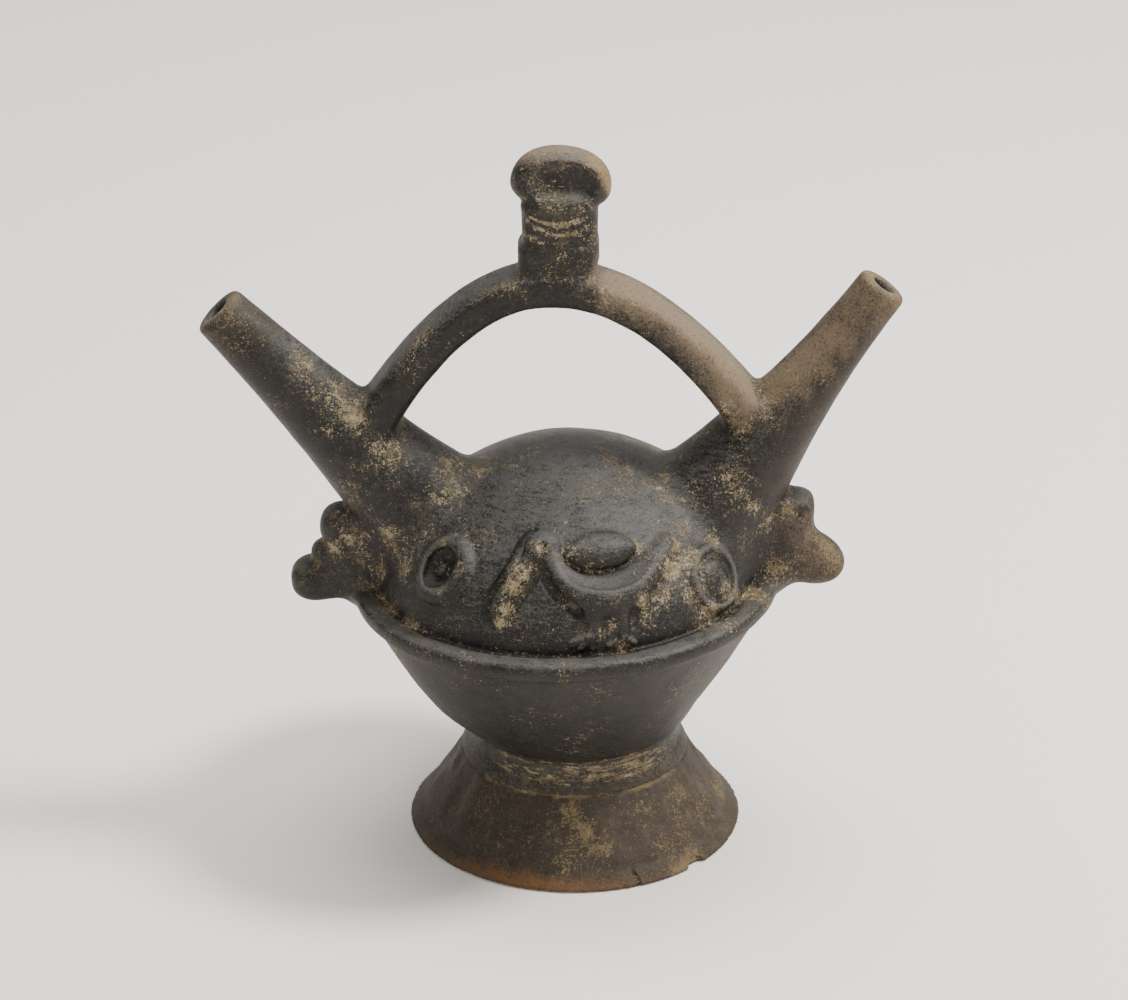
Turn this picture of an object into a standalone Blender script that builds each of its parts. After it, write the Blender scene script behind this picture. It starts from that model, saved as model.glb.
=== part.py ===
"""Whistling vessel: a double-spout bottle of burnished black pottery.

A round bowl on a flared foot carries a domed top inside a flange.  Two tapered spouts
rise from the dome and a strap bridges them, with a small figure on its crest.  An
animal head looks out under each spout.  A long-beaked bird, a lens-shaped boss and
round ear ornaments stand in low relief on the dome, front and back.  The vessel is
one piece of fired clay: the chamber inside is open through the two spout bores, and
the foot is hollow below.

Metres, +Z up.  The origin is on the ground under the middle of the whole vessel.
The front, with the finest relief, faces -Y.
"""

import math

import bmesh
import bpy
from mathutils import Matrix, Vector

MM = 0.001

# Points of a joined mesh closer than this are one point
WELD = 0.01 * MM

# Foot: a hollow trumpet that the bowl stands on
FOOT_RADIUS = 47.4 * MM
FOOT_LIP = 1.5 * MM
FOOT_CURVE = 1.43
FOOT_RIM_WIDTH = 5.0 * MM
WAIST_RADIUS = 28.7 * MM
WAIST_HEIGHT = 31.5 * MM

# Bowl, flange and dome
BOWL_RADIUS = 56.7 * MM
BOWL_DEPTH = 39.8 * MM
BOWL_CURVE = 0.75
FLANGE_OVERHANG = 2.4 * MM
FLANGE_THICKNESS = 4.8 * MM
LEDGE_WIDTH = 7.0 * MM
DOME_HEIGHT = 39.6 * MM
DOME_EXPONENT = 1.7

# Clay thickness
WALL = 5.0 * MM
FLOOR = 6.0 * MM
SPOUT_WALL = 4.4 * MM

# Spouts.  The roots lie inside the dome: how far in from its edge, and how high as a
# share of its height
LEFT_SPOUT_INSET = 19.9 * MM
LEFT_SPOUT_LENGTH = 91.6 * MM
LEFT_SPOUT_TILT = 42.4
LEFT_TIP_RADIUS = 7.5 * MM
LEFT_ROOT_RADIUS = 19.5 * MM
RIGHT_SPOUT_INSET = 16.6 * MM
RIGHT_SPOUT_LENGTH = 85.6 * MM
RIGHT_SPOUT_TILT = 36.2
RIGHT_TIP_RADIUS = 7.1 * MM
RIGHT_ROOT_RADIUS = 21.5 * MM
SPOUT_ROOT_CLIMB = 0.345
LIP_ROUND = 0.9 * MM
BORE_OVERRUN = 3.0 * MM

# Strap bridge: the clear height over the dome, and how far below each spout's mouth it
# meets the spout
HANDLE_GAP = 41.6 * MM
STRAP_DEPTH = 17.6 * MM
STRAP_THICKNESS = 10.0 * MM
STRAP_END_GROWTH = 0.22
STRAP_END_POWER = 4
LEFT_STRAP_JOIN = 55.5 * MM
RIGHT_STRAP_JOIN = 54.5 * MM
STRAP_CREST_SHIFT = -3.8 * MM
STRAP_EXPONENT = 2.6

# Figure on the crest of the bridge
FIGURE_SHIFT = 4.0 * MM
FIGURE_HEIGHT = 34.2 * MM
FIGURE_WIDTH = 26.9 * MM
FIGURE_DEPTH = 15.6 * MM

# Animal heads under the spouts
HEAD_HEIGHT = 30.3 * MM
HEAD_DROP = 6.7 * MM
LEFT_HEAD_REACH = 17.0 * MM
RIGHT_HEAD_REACH = 18.2 * MM
HEAD_WIDTH = 20.0 * MM
HEAD_ROOT_INSET = 10.0 * MM
HEAD_SQUARENESS = 2.3

# Relief on the dome
LENS_LENGTH = 21.0 * MM
LENS_HEIGHT = 11.0 * MM
LENS_RISE = 3.4 * MM
EAR_RADIUS = 7.0 * MM
EAR_ROLL = 2.0 * MM
EAR_GROOVE = 0.8 * MM
BIRD_HEAD_LENGTH = 11.0 * MM
BIRD_HEAD_HEIGHT = 9.0 * MM
BIRD_HEAD_RISE = 2.6 * MM
BIRD_GIRTH = 6.0 * MM

# The potter's hand: the bowl sits a little askew on its foot
LEAN = 0.027
LEAN_OFFSET = -2.2 * MM
LEAN_BLEND = 0.25

# Facets
BODY_SIDES = 48
HOLLOW_SIDES = 28
SPOUT_SIDES = 24
BORE_SIDES = 16
DOME_STEPS = 8
WALL_STEPS = 4
SPOUT_STEPS = 6
BORE_STEPS = 4
STRAP_STEPS = 16
SECTION_SIDES = 16
ROLL_ROUNDNESS = 2
PAD_SIDES = 14
PAD_STEPS = 6
RING_SIDES = 20
RING_SECTION_SIDES = 8
SMOOTH_ANGLE = 40.0

# Heights that follow from the sizes above
FLANGE_UNDERSIDE = WAIST_HEIGHT + BOWL_DEPTH
FLANGE_RADIUS = BOWL_RADIUS + FLANGE_OVERHANG
DOME_BASE = FLANGE_UNDERSIDE + FLANGE_THICKNESS
DOME_RADIUS = FLANGE_RADIUS - LEDGE_WIDTH
DOME_TOP = DOME_BASE + DOME_HEIGHT
CREST = DOME_TOP + HANDLE_GAP + STRAP_THICKNESS / 2

# Sizes by side: -1 is the left spout, bridge end and head, and 1 is the right
SPOUT_ROOT_INSET = {-1: LEFT_SPOUT_INSET, 1: RIGHT_SPOUT_INSET}
SPOUT_LENGTH = {-1: LEFT_SPOUT_LENGTH, 1: RIGHT_SPOUT_LENGTH}
SPOUT_TILT = {-1: LEFT_SPOUT_TILT, 1: RIGHT_SPOUT_TILT}
SPOUT_TIP_RADIUS = {-1: LEFT_TIP_RADIUS, 1: RIGHT_TIP_RADIUS}
SPOUT_ROOT_RADIUS = {-1: LEFT_ROOT_RADIUS, 1: RIGHT_ROOT_RADIUS}
SPOUT_FLARE = {-1: 0.65, 1: 1.0}
STRAP_JOIN = {-1: LEFT_STRAP_JOIN, 1: RIGHT_STRAP_JOIN}
HEAD_REACH = {-1: LEFT_HEAD_REACH, 1: RIGHT_HEAD_REACH}

# Flange section, from the dome's edge outward and down: (share of the ledge's width,
# share of the flange's thickness)
FLANGE_SECTION = [(0.0, 1.0), (0.25, 1.08), (0.75, 1.0), (0.95, 0.8), (1.0, 0.55), (0.93, 0.15)]

# Hollows: how much thicker the sloping bowl and its foot are when measured level, and
# how far the hollow under the foot draws in towards its ceiling
BOWL_WALL_SPREAD = 1.2
BOWL_FLOOR_SPREAD = 1.8
CHAMBER_FLOOR_SHARE = 0.3
FOOT_CEILING_SHARE = 0.75
FOOT_CEILING_ROUND = 0.85

# Animal heads: (share of height, share of reach)
HEAD_PROFILE = {
    -1: [(0.04, 0.40), (0.08, 0.76), (0.19, 0.97), (0.32, 1.0), (0.44, 0.92), (0.49, 0.69),
         (0.55, 0.66), (0.62, 0.46), (0.76, 0.54), (0.93, 0.42), (1.0, 0.10)],
    1: [(0.04, 0.30), (0.07, 0.72), (0.16, 0.93), (0.29, 1.0), (0.45, 0.82), (0.60, 0.52),
        (0.72, 0.46), (0.86, 0.50), (0.93, 0.44), (0.97, 0.28), (1.0, 0.05)],
}
HEAD_CHEEK = [(0.0, 0.15), (0.12, 0.58), (0.30, 0.72), (0.60, 0.46), (0.85, 0.40), (1.0, 0.05)]
HEAD_FULLNESS = [(0.0, 0.30), (0.12, 0.72), (0.30, 0.88), (0.60, 0.84), (0.82, 0.96), (1.0, 0.45)]
HEAD_RIDGE_POWER = 3

# Figure: (share of height, share of width, share of depth, squareness, share aside)
FIGURE_SECTIONS = [
    (0.06, 0.87, 0.78, 5.0, -0.02),
    (0.22, 0.77, 0.74, 4.5, 0.0), (0.40, 0.79, 0.78, 4.0, 0.0),
    (0.51, 0.77, 0.80, 3.2, 0.01), (0.565, 0.92, 0.96, 2.6, 0.03),
    (0.66, 1.0, 1.0, 2.5, 0.02), (0.78, 0.93, 0.94, 2.4, -0.01),
    (0.90, 0.69, 0.74, 2.3, -0.04), (0.97, 0.36, 0.44, 2.2, -0.07),
    (1.0, 0.08, 0.12, 2.0, -0.07),
]

# Bird: places on the dome as (degrees from the front, share of the climb to the top), and
# how thick each roll is there as a share of the bird's girth
BIRD_BODY = [(-9.0, 0.455), (-4.5, 0.40), (0.5, 0.335), (7.0, 0.285), (14.5, 0.270),
             (22.0, 0.290), (30.0, 0.340), (37.0, 0.380), (41.5, 0.410)]
BIRD_BODY_RADII = [0.57, 0.63, 0.73, 0.90, 1.0, 0.90, 0.73, 0.63, 0.50]
BIRD_BEAK = [(-12.0, 0.465), (-16.5, 0.400), (-20.3, 0.290), (-22.6, 0.215), (-21.3, 0.145)]
BIRD_BEAK_RADII = [0.53, 0.48, 0.42, 0.35, 0.18]
BIRD_HEAD = (-10.5, 0.468)
BIRD_LEGS = [
    [(8.0, 0.240), (7.6, 0.170), (6.0, 0.115)],
    [(16.5, 0.220), (17.3, 0.140), (17.0, 0.075)],
]
BIRD_LEG_RADII = [0.53, 0.40, 0.32]
BIRD_TOES = [
    [(1.3, 0.075), (3.6, 0.035), (7.0, 0.045)],
    [(13.6, 0.040), (16.8, 0.015), (20.0, 0.030)],
]
BIRD_TOE_RADII = [0.25, 0.17]
BIRD_SINK = 0.45
LENS_PLACE = (14.2, 0.447)
EAR_PLACES = [(-51.5, 0.300), (53.5, 0.190)]
BACK = 180.0


def clear_scene():
    """Empty the scene, so that the script builds the same model each time."""
    for item in list(bpy.data.objects):
        bpy.data.objects.remove(item, do_unlink=True)


def add_object(name, mesh, collection):
    """Link a mesh to the collection as a named object."""
    item = bpy.data.objects.new(name, mesh)
    collection.objects.link(item)
    return item


def bake(item):
    """Replace an object's mesh with what its modifiers make of it."""
    bpy.context.view_layer.update()
    graph = bpy.context.evaluated_depsgraph_get()
    mesh = bpy.data.meshes.new_from_object(item.evaluated_get(graph))
    item.modifiers.clear()
    old_mesh = item.data
    item.data = mesh
    bpy.data.meshes.remove(old_mesh)


def combine(item, tool, operation):
    """Join a tool to an object, or cut it away, and remove the tool."""
    step = item.modifiers.new(tool.name, "BOOLEAN")
    step.operation = operation
    step.solver = "EXACT"
    step.object = tool
    bake(item)
    bpy.data.objects.remove(tool, do_unlink=True)
    form = bmesh.new()
    form.from_mesh(item.data)
    bmesh.ops.dissolve_degenerate(form, dist=WELD, edges=form.edges)
    form.to_mesh(item.data)
    form.free()


def between(table, share):
    """Read a table of (share, value) at a share, along straight lines."""
    for (low, low_value), (high, high_value) in zip(table, table[1:]):
        if share <= high:
            mix = (share - low) / (high - low)
            return low_value + (high_value - low_value) * mix
    return table[-1][1]


def turned(name, profile, sides, collection):
    """Turn a profile of (radius, height), top to bottom, about the vertical axis."""
    mesh = bpy.data.meshes.new(name)
    points = [(radius, 0.0, height) for radius, height in profile]
    edges = [(index, index + 1) for index in range(len(points) - 1)]
    mesh.from_pydata(points, edges, [])
    item = add_object(name, mesh, collection)
    screw = item.modifiers.new("turn", "SCREW")
    screw.axis = "Z"
    screw.steps = sides
    screw.render_steps = sides
    screw.use_merge_vertices = True
    screw.merge_threshold = WELD
    bake(item)
    return item


def loft(name, rings, collection):
    """Skin a stack of rings of points and close both ends."""
    form = bmesh.new()
    layers = [[form.verts.new(point) for point in ring] for ring in rings]
    for lower, upper in zip(layers, layers[1:]):
        for index in range(len(lower)):
            following = (index + 1) % len(lower)
            form.faces.new((lower[index], lower[following], upper[following], upper[index]))
    form.faces.new(list(reversed(layers[0])))
    form.faces.new(layers[-1])
    bmesh.ops.recalc_face_normals(form, faces=form.faces)
    mesh = bpy.data.meshes.new(name)
    form.to_mesh(mesh)
    form.free()
    return add_object(name, mesh, collection)


def superellipse(half_a, half_b, exponent, count):
    """Points around a rounded rectangle, or around an ellipse where the exponent is 2."""
    points = []
    for index in range(count):
        angle = 2 * math.pi * index / count
        cosine, sine = math.cos(angle), math.sin(angle)
        a = half_a * math.copysign(abs(cosine) ** (2 / exponent), cosine)
        b = half_b * math.copysign(abs(sine) ** (2 / exponent), sine)
        points.append((a, b))
    return points


def dome_point(azimuth, share, lift=0.0):
    """A point on the dome, or a height above it, and the direction out of the clay."""
    turn = math.radians(azimuth)

    def outline(step):
        climb = min(max(step, 0.0), 1.0) * math.pi / 2
        radius = DOME_RADIUS * math.cos(climb) ** (2 / DOME_EXPONENT)
        height = DOME_BASE + DOME_HEIGHT * math.sin(climb) ** (2 / DOME_EXPONENT)
        return Vector((radius, height))

    radius, height = outline(share)
    run = outline(share + 0.02) - outline(max(share - 0.02, 0.0))
    slope = Vector((run.y, -run.x)).normalized()
    outward = Vector((math.sin(turn), -math.cos(turn), 0.0))
    normal = outward * slope.x + Vector((0.0, 0.0, slope.y))
    point = outward * radius + Vector((0.0, 0.0, height))
    return point + normal * lift, normal


def on_dome(azimuth, share, lift=0.0):
    """A frame on the dome: X runs around it, Y climbs it and Z points out."""
    point, normal = dome_point(azimuth, share, lift)
    turn = math.radians(azimuth)
    around = Vector((math.cos(turn), math.sin(turn), 0.0))
    climb = normal.cross(around)
    frame = Matrix((around, climb, normal)).transposed().to_4x4()
    frame.translation = point
    return frame


def smooth_line(points, steps):
    """Add points between the given ones, on a curve that passes through them all."""
    line = []
    for index in range(len(points) - 1):
        before = points[max(index - 1, 0)]
        start, end = points[index], points[index + 1]
        after = points[min(index + 2, len(points) - 1)]
        for step in range(steps):
            t = step / steps
            line.append(0.5 * (2 * start + (end - before) * t
                               + (2 * before - 5 * start + 4 * end - after) * t ** 2
                               + (3 * start - before - 3 * end + after) * t ** 3))
    line.append(points[-1])
    return line


def roll(name, places, radii, steps, mirror, collection):
    """A tapering roll of clay laid along places on the dome and half sunk in it."""
    line = []
    for (azimuth, share), thickness in zip(places, radii):
        radius = thickness * BIRD_GIRTH
        point = dome_point(mirror + azimuth, share, -BIRD_SINK * radius)[0]
        line.append(Vector((point.x, point.y, point.z, radius)))
    line = smooth_line(line, steps)
    curve = bpy.data.curves.new(name, "CURVE")
    curve.dimensions = "3D"
    curve.bevel_depth = 1.0
    curve.bevel_resolution = ROLL_ROUNDNESS
    curve.use_fill_caps = True
    spline = curve.splines.new("POLY")
    spline.points.add(len(line) - 1)
    for knot, point in zip(spline.points, line):
        knot.co = (point.x, point.y, point.z, 1.0)
        knot.radius = point.w
    guide = bpy.data.objects.new(name, curve)
    collection.objects.link(guide)
    bpy.context.view_layer.update()
    graph = bpy.context.evaluated_depsgraph_get()
    mesh = bpy.data.meshes.new_from_object(guide.evaluated_get(graph))
    form = bmesh.new()
    form.from_mesh(mesh)
    bmesh.ops.remove_doubles(form, verts=form.verts, dist=WELD)
    bmesh.ops.recalc_face_normals(form, faces=form.faces)
    form.to_mesh(mesh)
    form.free()
    item = add_object(name, mesh, collection)
    item.matrix_world = guide.matrix_world
    bpy.data.objects.remove(guide, do_unlink=True)
    return item


def pad(name, place, size, collection):
    """A smooth oval pad of clay, half sunk, that stands out of the dome at a place."""
    form = bmesh.new()
    bmesh.ops.create_uvsphere(form, u_segments=PAD_SIDES, v_segments=PAD_STEPS, radius=1.0)
    scale = Matrix.Diagonal((size[0] / 2, size[1] / 2, size[2], 1.0))
    bmesh.ops.transform(form, matrix=on_dome(*place) @ scale, verts=form.verts)
    mesh = bpy.data.meshes.new(name)
    form.to_mesh(mesh)
    form.free()
    return add_object(name, mesh, collection)


def ear_ring(name, place, collection):
    """A raised ring, the ear ornament of an animal head."""
    bpy.ops.mesh.primitive_torus_add(
        major_radius=EAR_RADIUS, minor_radius=EAR_ROLL,
        major_segments=RING_SIDES, minor_segments=RING_SECTION_SIDES)
    item = bpy.context.active_object
    item.name = name
    for owner in list(item.users_collection):
        owner.objects.unlink(item)
    collection.objects.link(item)
    item.matrix_world = on_dome(*place)
    return item


def foot_radius(height):
    """Outer radius of the foot at a height."""
    fall = max(1.0 - height / WAIST_HEIGHT, 0.0)
    return WAIST_RADIUS + (FOOT_RADIUS - WAIST_RADIUS) * fall ** FOOT_CURVE


def bowl_radius(height):
    """Outer radius of the bowl at a height."""
    climb = max((height - WAIST_HEIGHT) / BOWL_DEPTH, 0.0)
    return WAIST_RADIUS + (BOWL_RADIUS - WAIST_RADIUS) * climb ** BOWL_CURVE


def dome_profile(radius, base, height):
    """The dome's outline as (radius, height), from its top to just above its base."""
    outline = []
    for step in range(DOME_STEPS):
        climb = (1 - step / DOME_STEPS) * math.pi / 2
        across = max(math.cos(climb), 0.0) ** (2 / DOME_EXPONENT)
        up = math.sin(climb) ** (2 / DOME_EXPONENT)
        outline.append((radius * across if step else 0.0, base + height * up))
    return outline


def body_profile():
    """Outline of the whole body, from the dome's top down to the middle of the foot."""
    outline = dome_profile(DOME_RADIUS, DOME_BASE, DOME_HEIGHT)
    for out, up in FLANGE_SECTION:
        outline.append((DOME_RADIUS + out * LEDGE_WIDTH, FLANGE_UNDERSIDE + up * FLANGE_THICKNESS))
    for step in range(WALL_STEPS + 2):
        height = FLANGE_UNDERSIDE - BOWL_DEPTH * step / (WALL_STEPS + 2)
        outline.append((bowl_radius(height), height))
    for step in range(WALL_STEPS + 1):
        height = WAIST_HEIGHT - (WAIST_HEIGHT - 2 * FOOT_LIP) * step / WALL_STEPS
        outline.append((foot_radius(height), height))
    outline += [(FOOT_RADIUS, FOOT_LIP), (FOOT_RADIUS - FOOT_LIP / 2, 0.0), (0.0, 0.0)]
    return outline


def chamber_profile():
    """The hollow inside the bowl and the dome, one wall in from the outside."""
    floor = WAIST_HEIGHT + FLOOR / 2
    outline = dome_profile(DOME_RADIUS - WALL, DOME_BASE, DOME_HEIGHT - WALL)
    outline.append((DOME_RADIUS - WALL, DOME_BASE))
    for step in range(WALL_STEPS):
        height = FLANGE_UNDERSIDE - (FLANGE_UNDERSIDE - floor) * step / WALL_STEPS
        outline.append((bowl_radius(height) - BOWL_WALL_SPREAD * WALL, height))
    inner = max(bowl_radius(floor) - BOWL_FLOOR_SPREAD * WALL, CHAMBER_FLOOR_SHARE * WAIST_RADIUS)
    outline += [(inner, floor), (0.0, floor)]
    return outline


def foot_hollow_profile():
    """The hollow under the foot, open at the ground."""
    ceiling = WAIST_HEIGHT - FLOOR / 2
    inner = foot_radius(ceiling) - FOOT_RIM_WIDTH
    outline = [(0.0, ceiling), (FOOT_CEILING_SHARE * inner, ceiling)]
    for step in range(WALL_STEPS):
        height = FOOT_CEILING_ROUND * ceiling * (1 - step / WALL_STEPS)
        outline.append((foot_radius(height) - FOOT_RIM_WIDTH, height))
    rim = FOOT_RADIUS - FOOT_RIM_WIDTH
    outline += [(rim, 0.0), (rim, -FOOT_LIP), (0.0, -FOOT_LIP)]
    return outline


def spout_radius(side, share):
    """Outer radius of a spout, where share is 0 at the root and 1 at the tip."""
    away = 1.0 - share
    flare = SPOUT_FLARE[side]
    growth = (1 - flare) * away + flare * away ** 2
    tip = SPOUT_TIP_RADIUS[side]
    return tip + (SPOUT_ROOT_RADIUS[side] - tip) * growth


def spout_frame(side):
    """Places a spout: Z runs from its root, inside the dome, to its mouth."""
    out = DOME_RADIUS - SPOUT_ROOT_INSET[side]
    root = Vector((side * out, 0.0, DOME_BASE + SPOUT_ROOT_CLIMB * DOME_HEIGHT))
    tilt = Matrix.Rotation(side * math.radians(SPOUT_TILT[side]), 4, "Y")
    return Matrix.Translation(root) @ tilt


def spout(side, collection):
    """The outside of a spout, with a rounded lip."""
    length = SPOUT_LENGTH[side]
    tip = SPOUT_TIP_RADIUS[side]
    outline = [(0.0, length), (tip - LIP_ROUND, length), (tip, length - LIP_ROUND)]
    for step in range(1, SPOUT_STEPS + 1):
        share = 1.0 - step / SPOUT_STEPS
        outline.append((spout_radius(side, share), length * share))
    outline.append((0.0, 0.0))
    item = turned("spout", outline, SPOUT_SIDES, collection)
    item.matrix_world = spout_frame(side)
    return item


def bore(side, collection):
    """The hollow of a spout, from its mouth down into the chamber."""
    length = SPOUT_LENGTH[side]
    mouth = SPOUT_TIP_RADIUS[side] - SPOUT_WALL
    outline = [(0.0, length + BORE_OVERRUN), (mouth, length + BORE_OVERRUN)]
    for step in range(BORE_STEPS + 1):
        share = 1.0 - step / BORE_STEPS
        outline.append((spout_radius(side, share) - SPOUT_WALL, length * share))
    outline.append((0.0, 0.0))
    item = turned("bore", outline, BORE_SIDES, collection)
    item.matrix_world = spout_frame(side)
    return item


def strap_line(count):
    """Centre line of the bridge: an arch between points on the two spouts' axes."""
    ends = {}
    for side in (-1, 1):
        along = SPOUT_LENGTH[side] - STRAP_JOIN[side]
        ends[side] = spout_frame(side) @ Vector((0.0, 0.0, along))
    crest_x = (ends[-1].x + ends[1].x) / 2 + STRAP_CREST_SHIFT
    line = []
    for index in range(count):
        x = ends[-1].x + (ends[1].x - ends[-1].x) * index / (count - 1)
        end = ends[-1] if x < crest_x else ends[1]
        fall = ((x - crest_x) / (end.x - crest_x)) ** 2
        line.append(Vector((x, 0.0, CREST - (CREST - end.z) * fall)))
    return line, crest_x


def strap(collection):
    """The strap bridge, a little heavier where it joins the spouts."""
    line = strap_line(STRAP_STEPS + 1)[0]
    rings = []
    for index, point in enumerate(line):
        before = line[max(index - 1, 0)]
        after = line[min(index + 1, STRAP_STEPS)]
        along = (after - before).normalized()
        up = Vector((-along.z, 0.0, along.x))
        away = abs(2 * index / STRAP_STEPS - 1) ** STRAP_END_POWER
        grow = 1 + STRAP_END_GROWTH * away
        section = superellipse(STRAP_DEPTH / 2 * grow, STRAP_THICKNESS / 2 * grow,
                               STRAP_EXPONENT, SECTION_SIDES)
        rings.append([point + Vector((0.0, a, 0.0)) + up * b for a, b in section])
    return loft("strap", rings, collection)


def figure(collection):
    """The small figure on the bridge: a square trunk under a broad, rounded headdress."""
    centre = strap_line(3)[1] + FIGURE_SHIFT
    base = CREST + STRAP_THICKNESS / 2
    sunk = (-STRAP_THICKNESS / 2 / FIGURE_HEIGHT, *FIGURE_SECTIONS[0][1:])
    rings = []
    for rise, width, depth, squareness, aside in [sunk, *FIGURE_SECTIONS]:
        height = base + rise * FIGURE_HEIGHT
        middle = centre + aside * FIGURE_WIDTH
        section = superellipse(width * FIGURE_WIDTH / 2, depth * FIGURE_DEPTH / 2,
                               squareness, SECTION_SIDES)
        rings.append([Vector((middle + a, b, height)) for a, b in section])
    return loft("figure", rings, collection)


def animal_head(side, collection):
    """A head that looks outward: chin and muzzle below, brow and crown above."""
    inner = FLANGE_RADIUS - HEAD_ROOT_INSET
    low = DOME_BASE - HEAD_DROP
    rings = []
    for rise, reach in HEAD_PROFILE[side]:
        cheek = between(HEAD_CHEEK, rise)
        width = HEAD_WIDTH / 2 * between(HEAD_FULLNESS, rise)
        height = low + rise * HEAD_HEIGHT
        ring = []
        for a, b in superellipse(1.0, width, HEAD_SQUARENESS, SECTION_SIDES):
            ridge = max(a, 0.0) ** HEAD_RIDGE_POWER
            length = HEAD_ROOT_INSET + (cheek + (reach - cheek) * ridge) * HEAD_REACH[side]
            ring.append(Vector((side * (inner + a * length), b, height)))
        rings.append(ring)
    return loft("animal_head", rings, collection)


def bird(mirror, finely, collection):
    """The parts of the bird: beak, head, long body with tail, and legs on the ledge."""
    steps = 2 if finely else 1
    parts = [
        roll("bird_body", BIRD_BODY, BIRD_BODY_RADII, steps, mirror, collection),
        roll("bird_beak", BIRD_BEAK, BIRD_BEAK_RADII, steps, mirror, collection),
    ]
    head_place = (mirror + BIRD_HEAD[0], BIRD_HEAD[1])
    head_size = (BIRD_HEAD_LENGTH, BIRD_HEAD_HEIGHT, BIRD_HEAD_RISE)
    parts.append(pad("bird_head", head_place, head_size, collection))
    for leg, toes in zip(BIRD_LEGS, BIRD_TOES):
        parts.append(roll("bird_leg", leg, BIRD_LEG_RADII, steps, mirror, collection))
        if finely:
            for toe in toes:
                line = [leg[-1], toe]
                parts.append(roll("bird_toe", line, BIRD_TOE_RADII, 1, mirror, collection))
    lens_place = (mirror + LENS_PLACE[0], LENS_PLACE[1])
    lens_size = (LENS_LENGTH, LENS_HEIGHT, LENS_RISE)
    parts.append(pad("lens", lens_place, lens_size, collection))
    return parts


def ears(mirror, collection):
    """A raised ring and a low boss beside each animal head."""
    parts = []
    for azimuth, share in EAR_PLACES:
        place = (mirror + azimuth, share)
        parts.append(ear_ring("ear_ring", place, collection))
        across = 2 * (EAR_RADIUS - EAR_ROLL - EAR_GROOVE)
        size = (across, across, EAR_ROLL)
        parts.append(pad("ear_boss", place, size, collection))
    return parts


def settle(item):
    """Give the body its lean on the foot and centre the whole over the origin."""
    mesh = item.data
    for vertex in mesh.vertices:
        share = min(max((vertex.co.z - WAIST_HEIGHT) / (LEAN_BLEND * BOWL_DEPTH), 0.0), 1.0)
        vertex.co.x += share * LEAN_OFFSET
        vertex.co.z += share * LEAN * vertex.co.x
    xs = [vertex.co.x for vertex in mesh.vertices]
    ys = [vertex.co.y for vertex in mesh.vertices]
    middle = Vector(((min(xs) + max(xs)) / 2, (min(ys) + max(ys)) / 2, 0.0))
    mesh.transform(Matrix.Translation(-middle))


def blackware():
    """Smoke-fired black pottery, burnished."""
    material = bpy.data.materials.new("blackware")
    material.use_nodes = True
    shader = material.node_tree.nodes["Principled BSDF"]
    shader.inputs["Base Color"].default_value = (0.050, 0.046, 0.041, 1.0)
    shader.inputs["Roughness"].default_value = 0.48
    shader.inputs["Metallic"].default_value = 0.0
    return material


def build():
    """Model the vessel as one solid of fired clay."""
    clear_scene()
    collection = bpy.data.collections.new("whistling_vessel")
    bpy.context.scene.collection.children.link(collection)
    vessel = turned("vessel", body_profile(), BODY_SIDES, collection)
    added = [spout(side, collection) for side in (-1, 1)]
    added.append(strap(collection))
    added.append(figure(collection))
    added += [animal_head(side, collection) for side in (-1, 1)]
    added += bird(0.0, True, collection)
    added += bird(BACK, False, collection)
    added += ears(0.0, collection)
    added += ears(BACK, collection)
    for part in added:
        combine(vessel, part, "UNION")
    hollows = [turned("chamber", chamber_profile(), HOLLOW_SIDES, collection)]
    hollows.append(turned("foot_hollow", foot_hollow_profile(), HOLLOW_SIDES, collection))
    hollows += [bore(side, collection) for side in (-1, 1)]
    for hollow in hollows:
        combine(vessel, hollow, "DIFFERENCE")
    settle(vessel)
    vessel.data.materials.clear()
    vessel.data.materials.append(blackware())
    vessel.data.shade_smooth()
    vessel.data.set_sharp_from_angle(angle=math.radians(SMOOTH_ANGLE))
    return vessel


build()
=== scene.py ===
"""Looks of the whistling vessel: burnished black pottery, worn brown at its edges, with
tan earth in its creases.

The clay is one form, described in millimetres by its distance from any point.  Turned
and modelled lumps are blended into one another as the potter's fingers would do it,
hollows and scored lines are cut in, and the skin between clay and air is meshed.  The
form stands where the frame's vessel stands, and replaces it.
"""

import math
from collections import namedtuple

import bmesh
import bpy
import numpy as np
from mathutils import Matrix, Vector


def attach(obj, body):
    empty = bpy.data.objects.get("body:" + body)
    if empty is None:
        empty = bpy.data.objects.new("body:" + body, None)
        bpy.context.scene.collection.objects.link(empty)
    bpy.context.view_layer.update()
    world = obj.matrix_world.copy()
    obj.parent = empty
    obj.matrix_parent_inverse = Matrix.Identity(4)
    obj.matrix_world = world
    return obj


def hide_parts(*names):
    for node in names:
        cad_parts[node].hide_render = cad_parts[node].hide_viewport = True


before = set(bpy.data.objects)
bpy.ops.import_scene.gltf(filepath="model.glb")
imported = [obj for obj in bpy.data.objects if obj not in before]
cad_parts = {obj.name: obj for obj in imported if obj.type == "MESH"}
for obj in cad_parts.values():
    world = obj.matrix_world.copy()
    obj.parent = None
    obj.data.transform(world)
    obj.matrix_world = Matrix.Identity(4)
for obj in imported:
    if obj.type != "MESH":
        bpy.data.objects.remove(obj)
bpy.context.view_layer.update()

MM = 0.001

# Meshing
GRID_STEP = 0.8
REACH = 9.0
TRIANGLES_KEPT = 94000
SLOPE_STEP = 0.25
TABLE_CELL = 0.35
GRID_LOW = (-104.0, -64.0, -2.4)
GRID_HIGH = (100.0, 64.0, 205.0)

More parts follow.
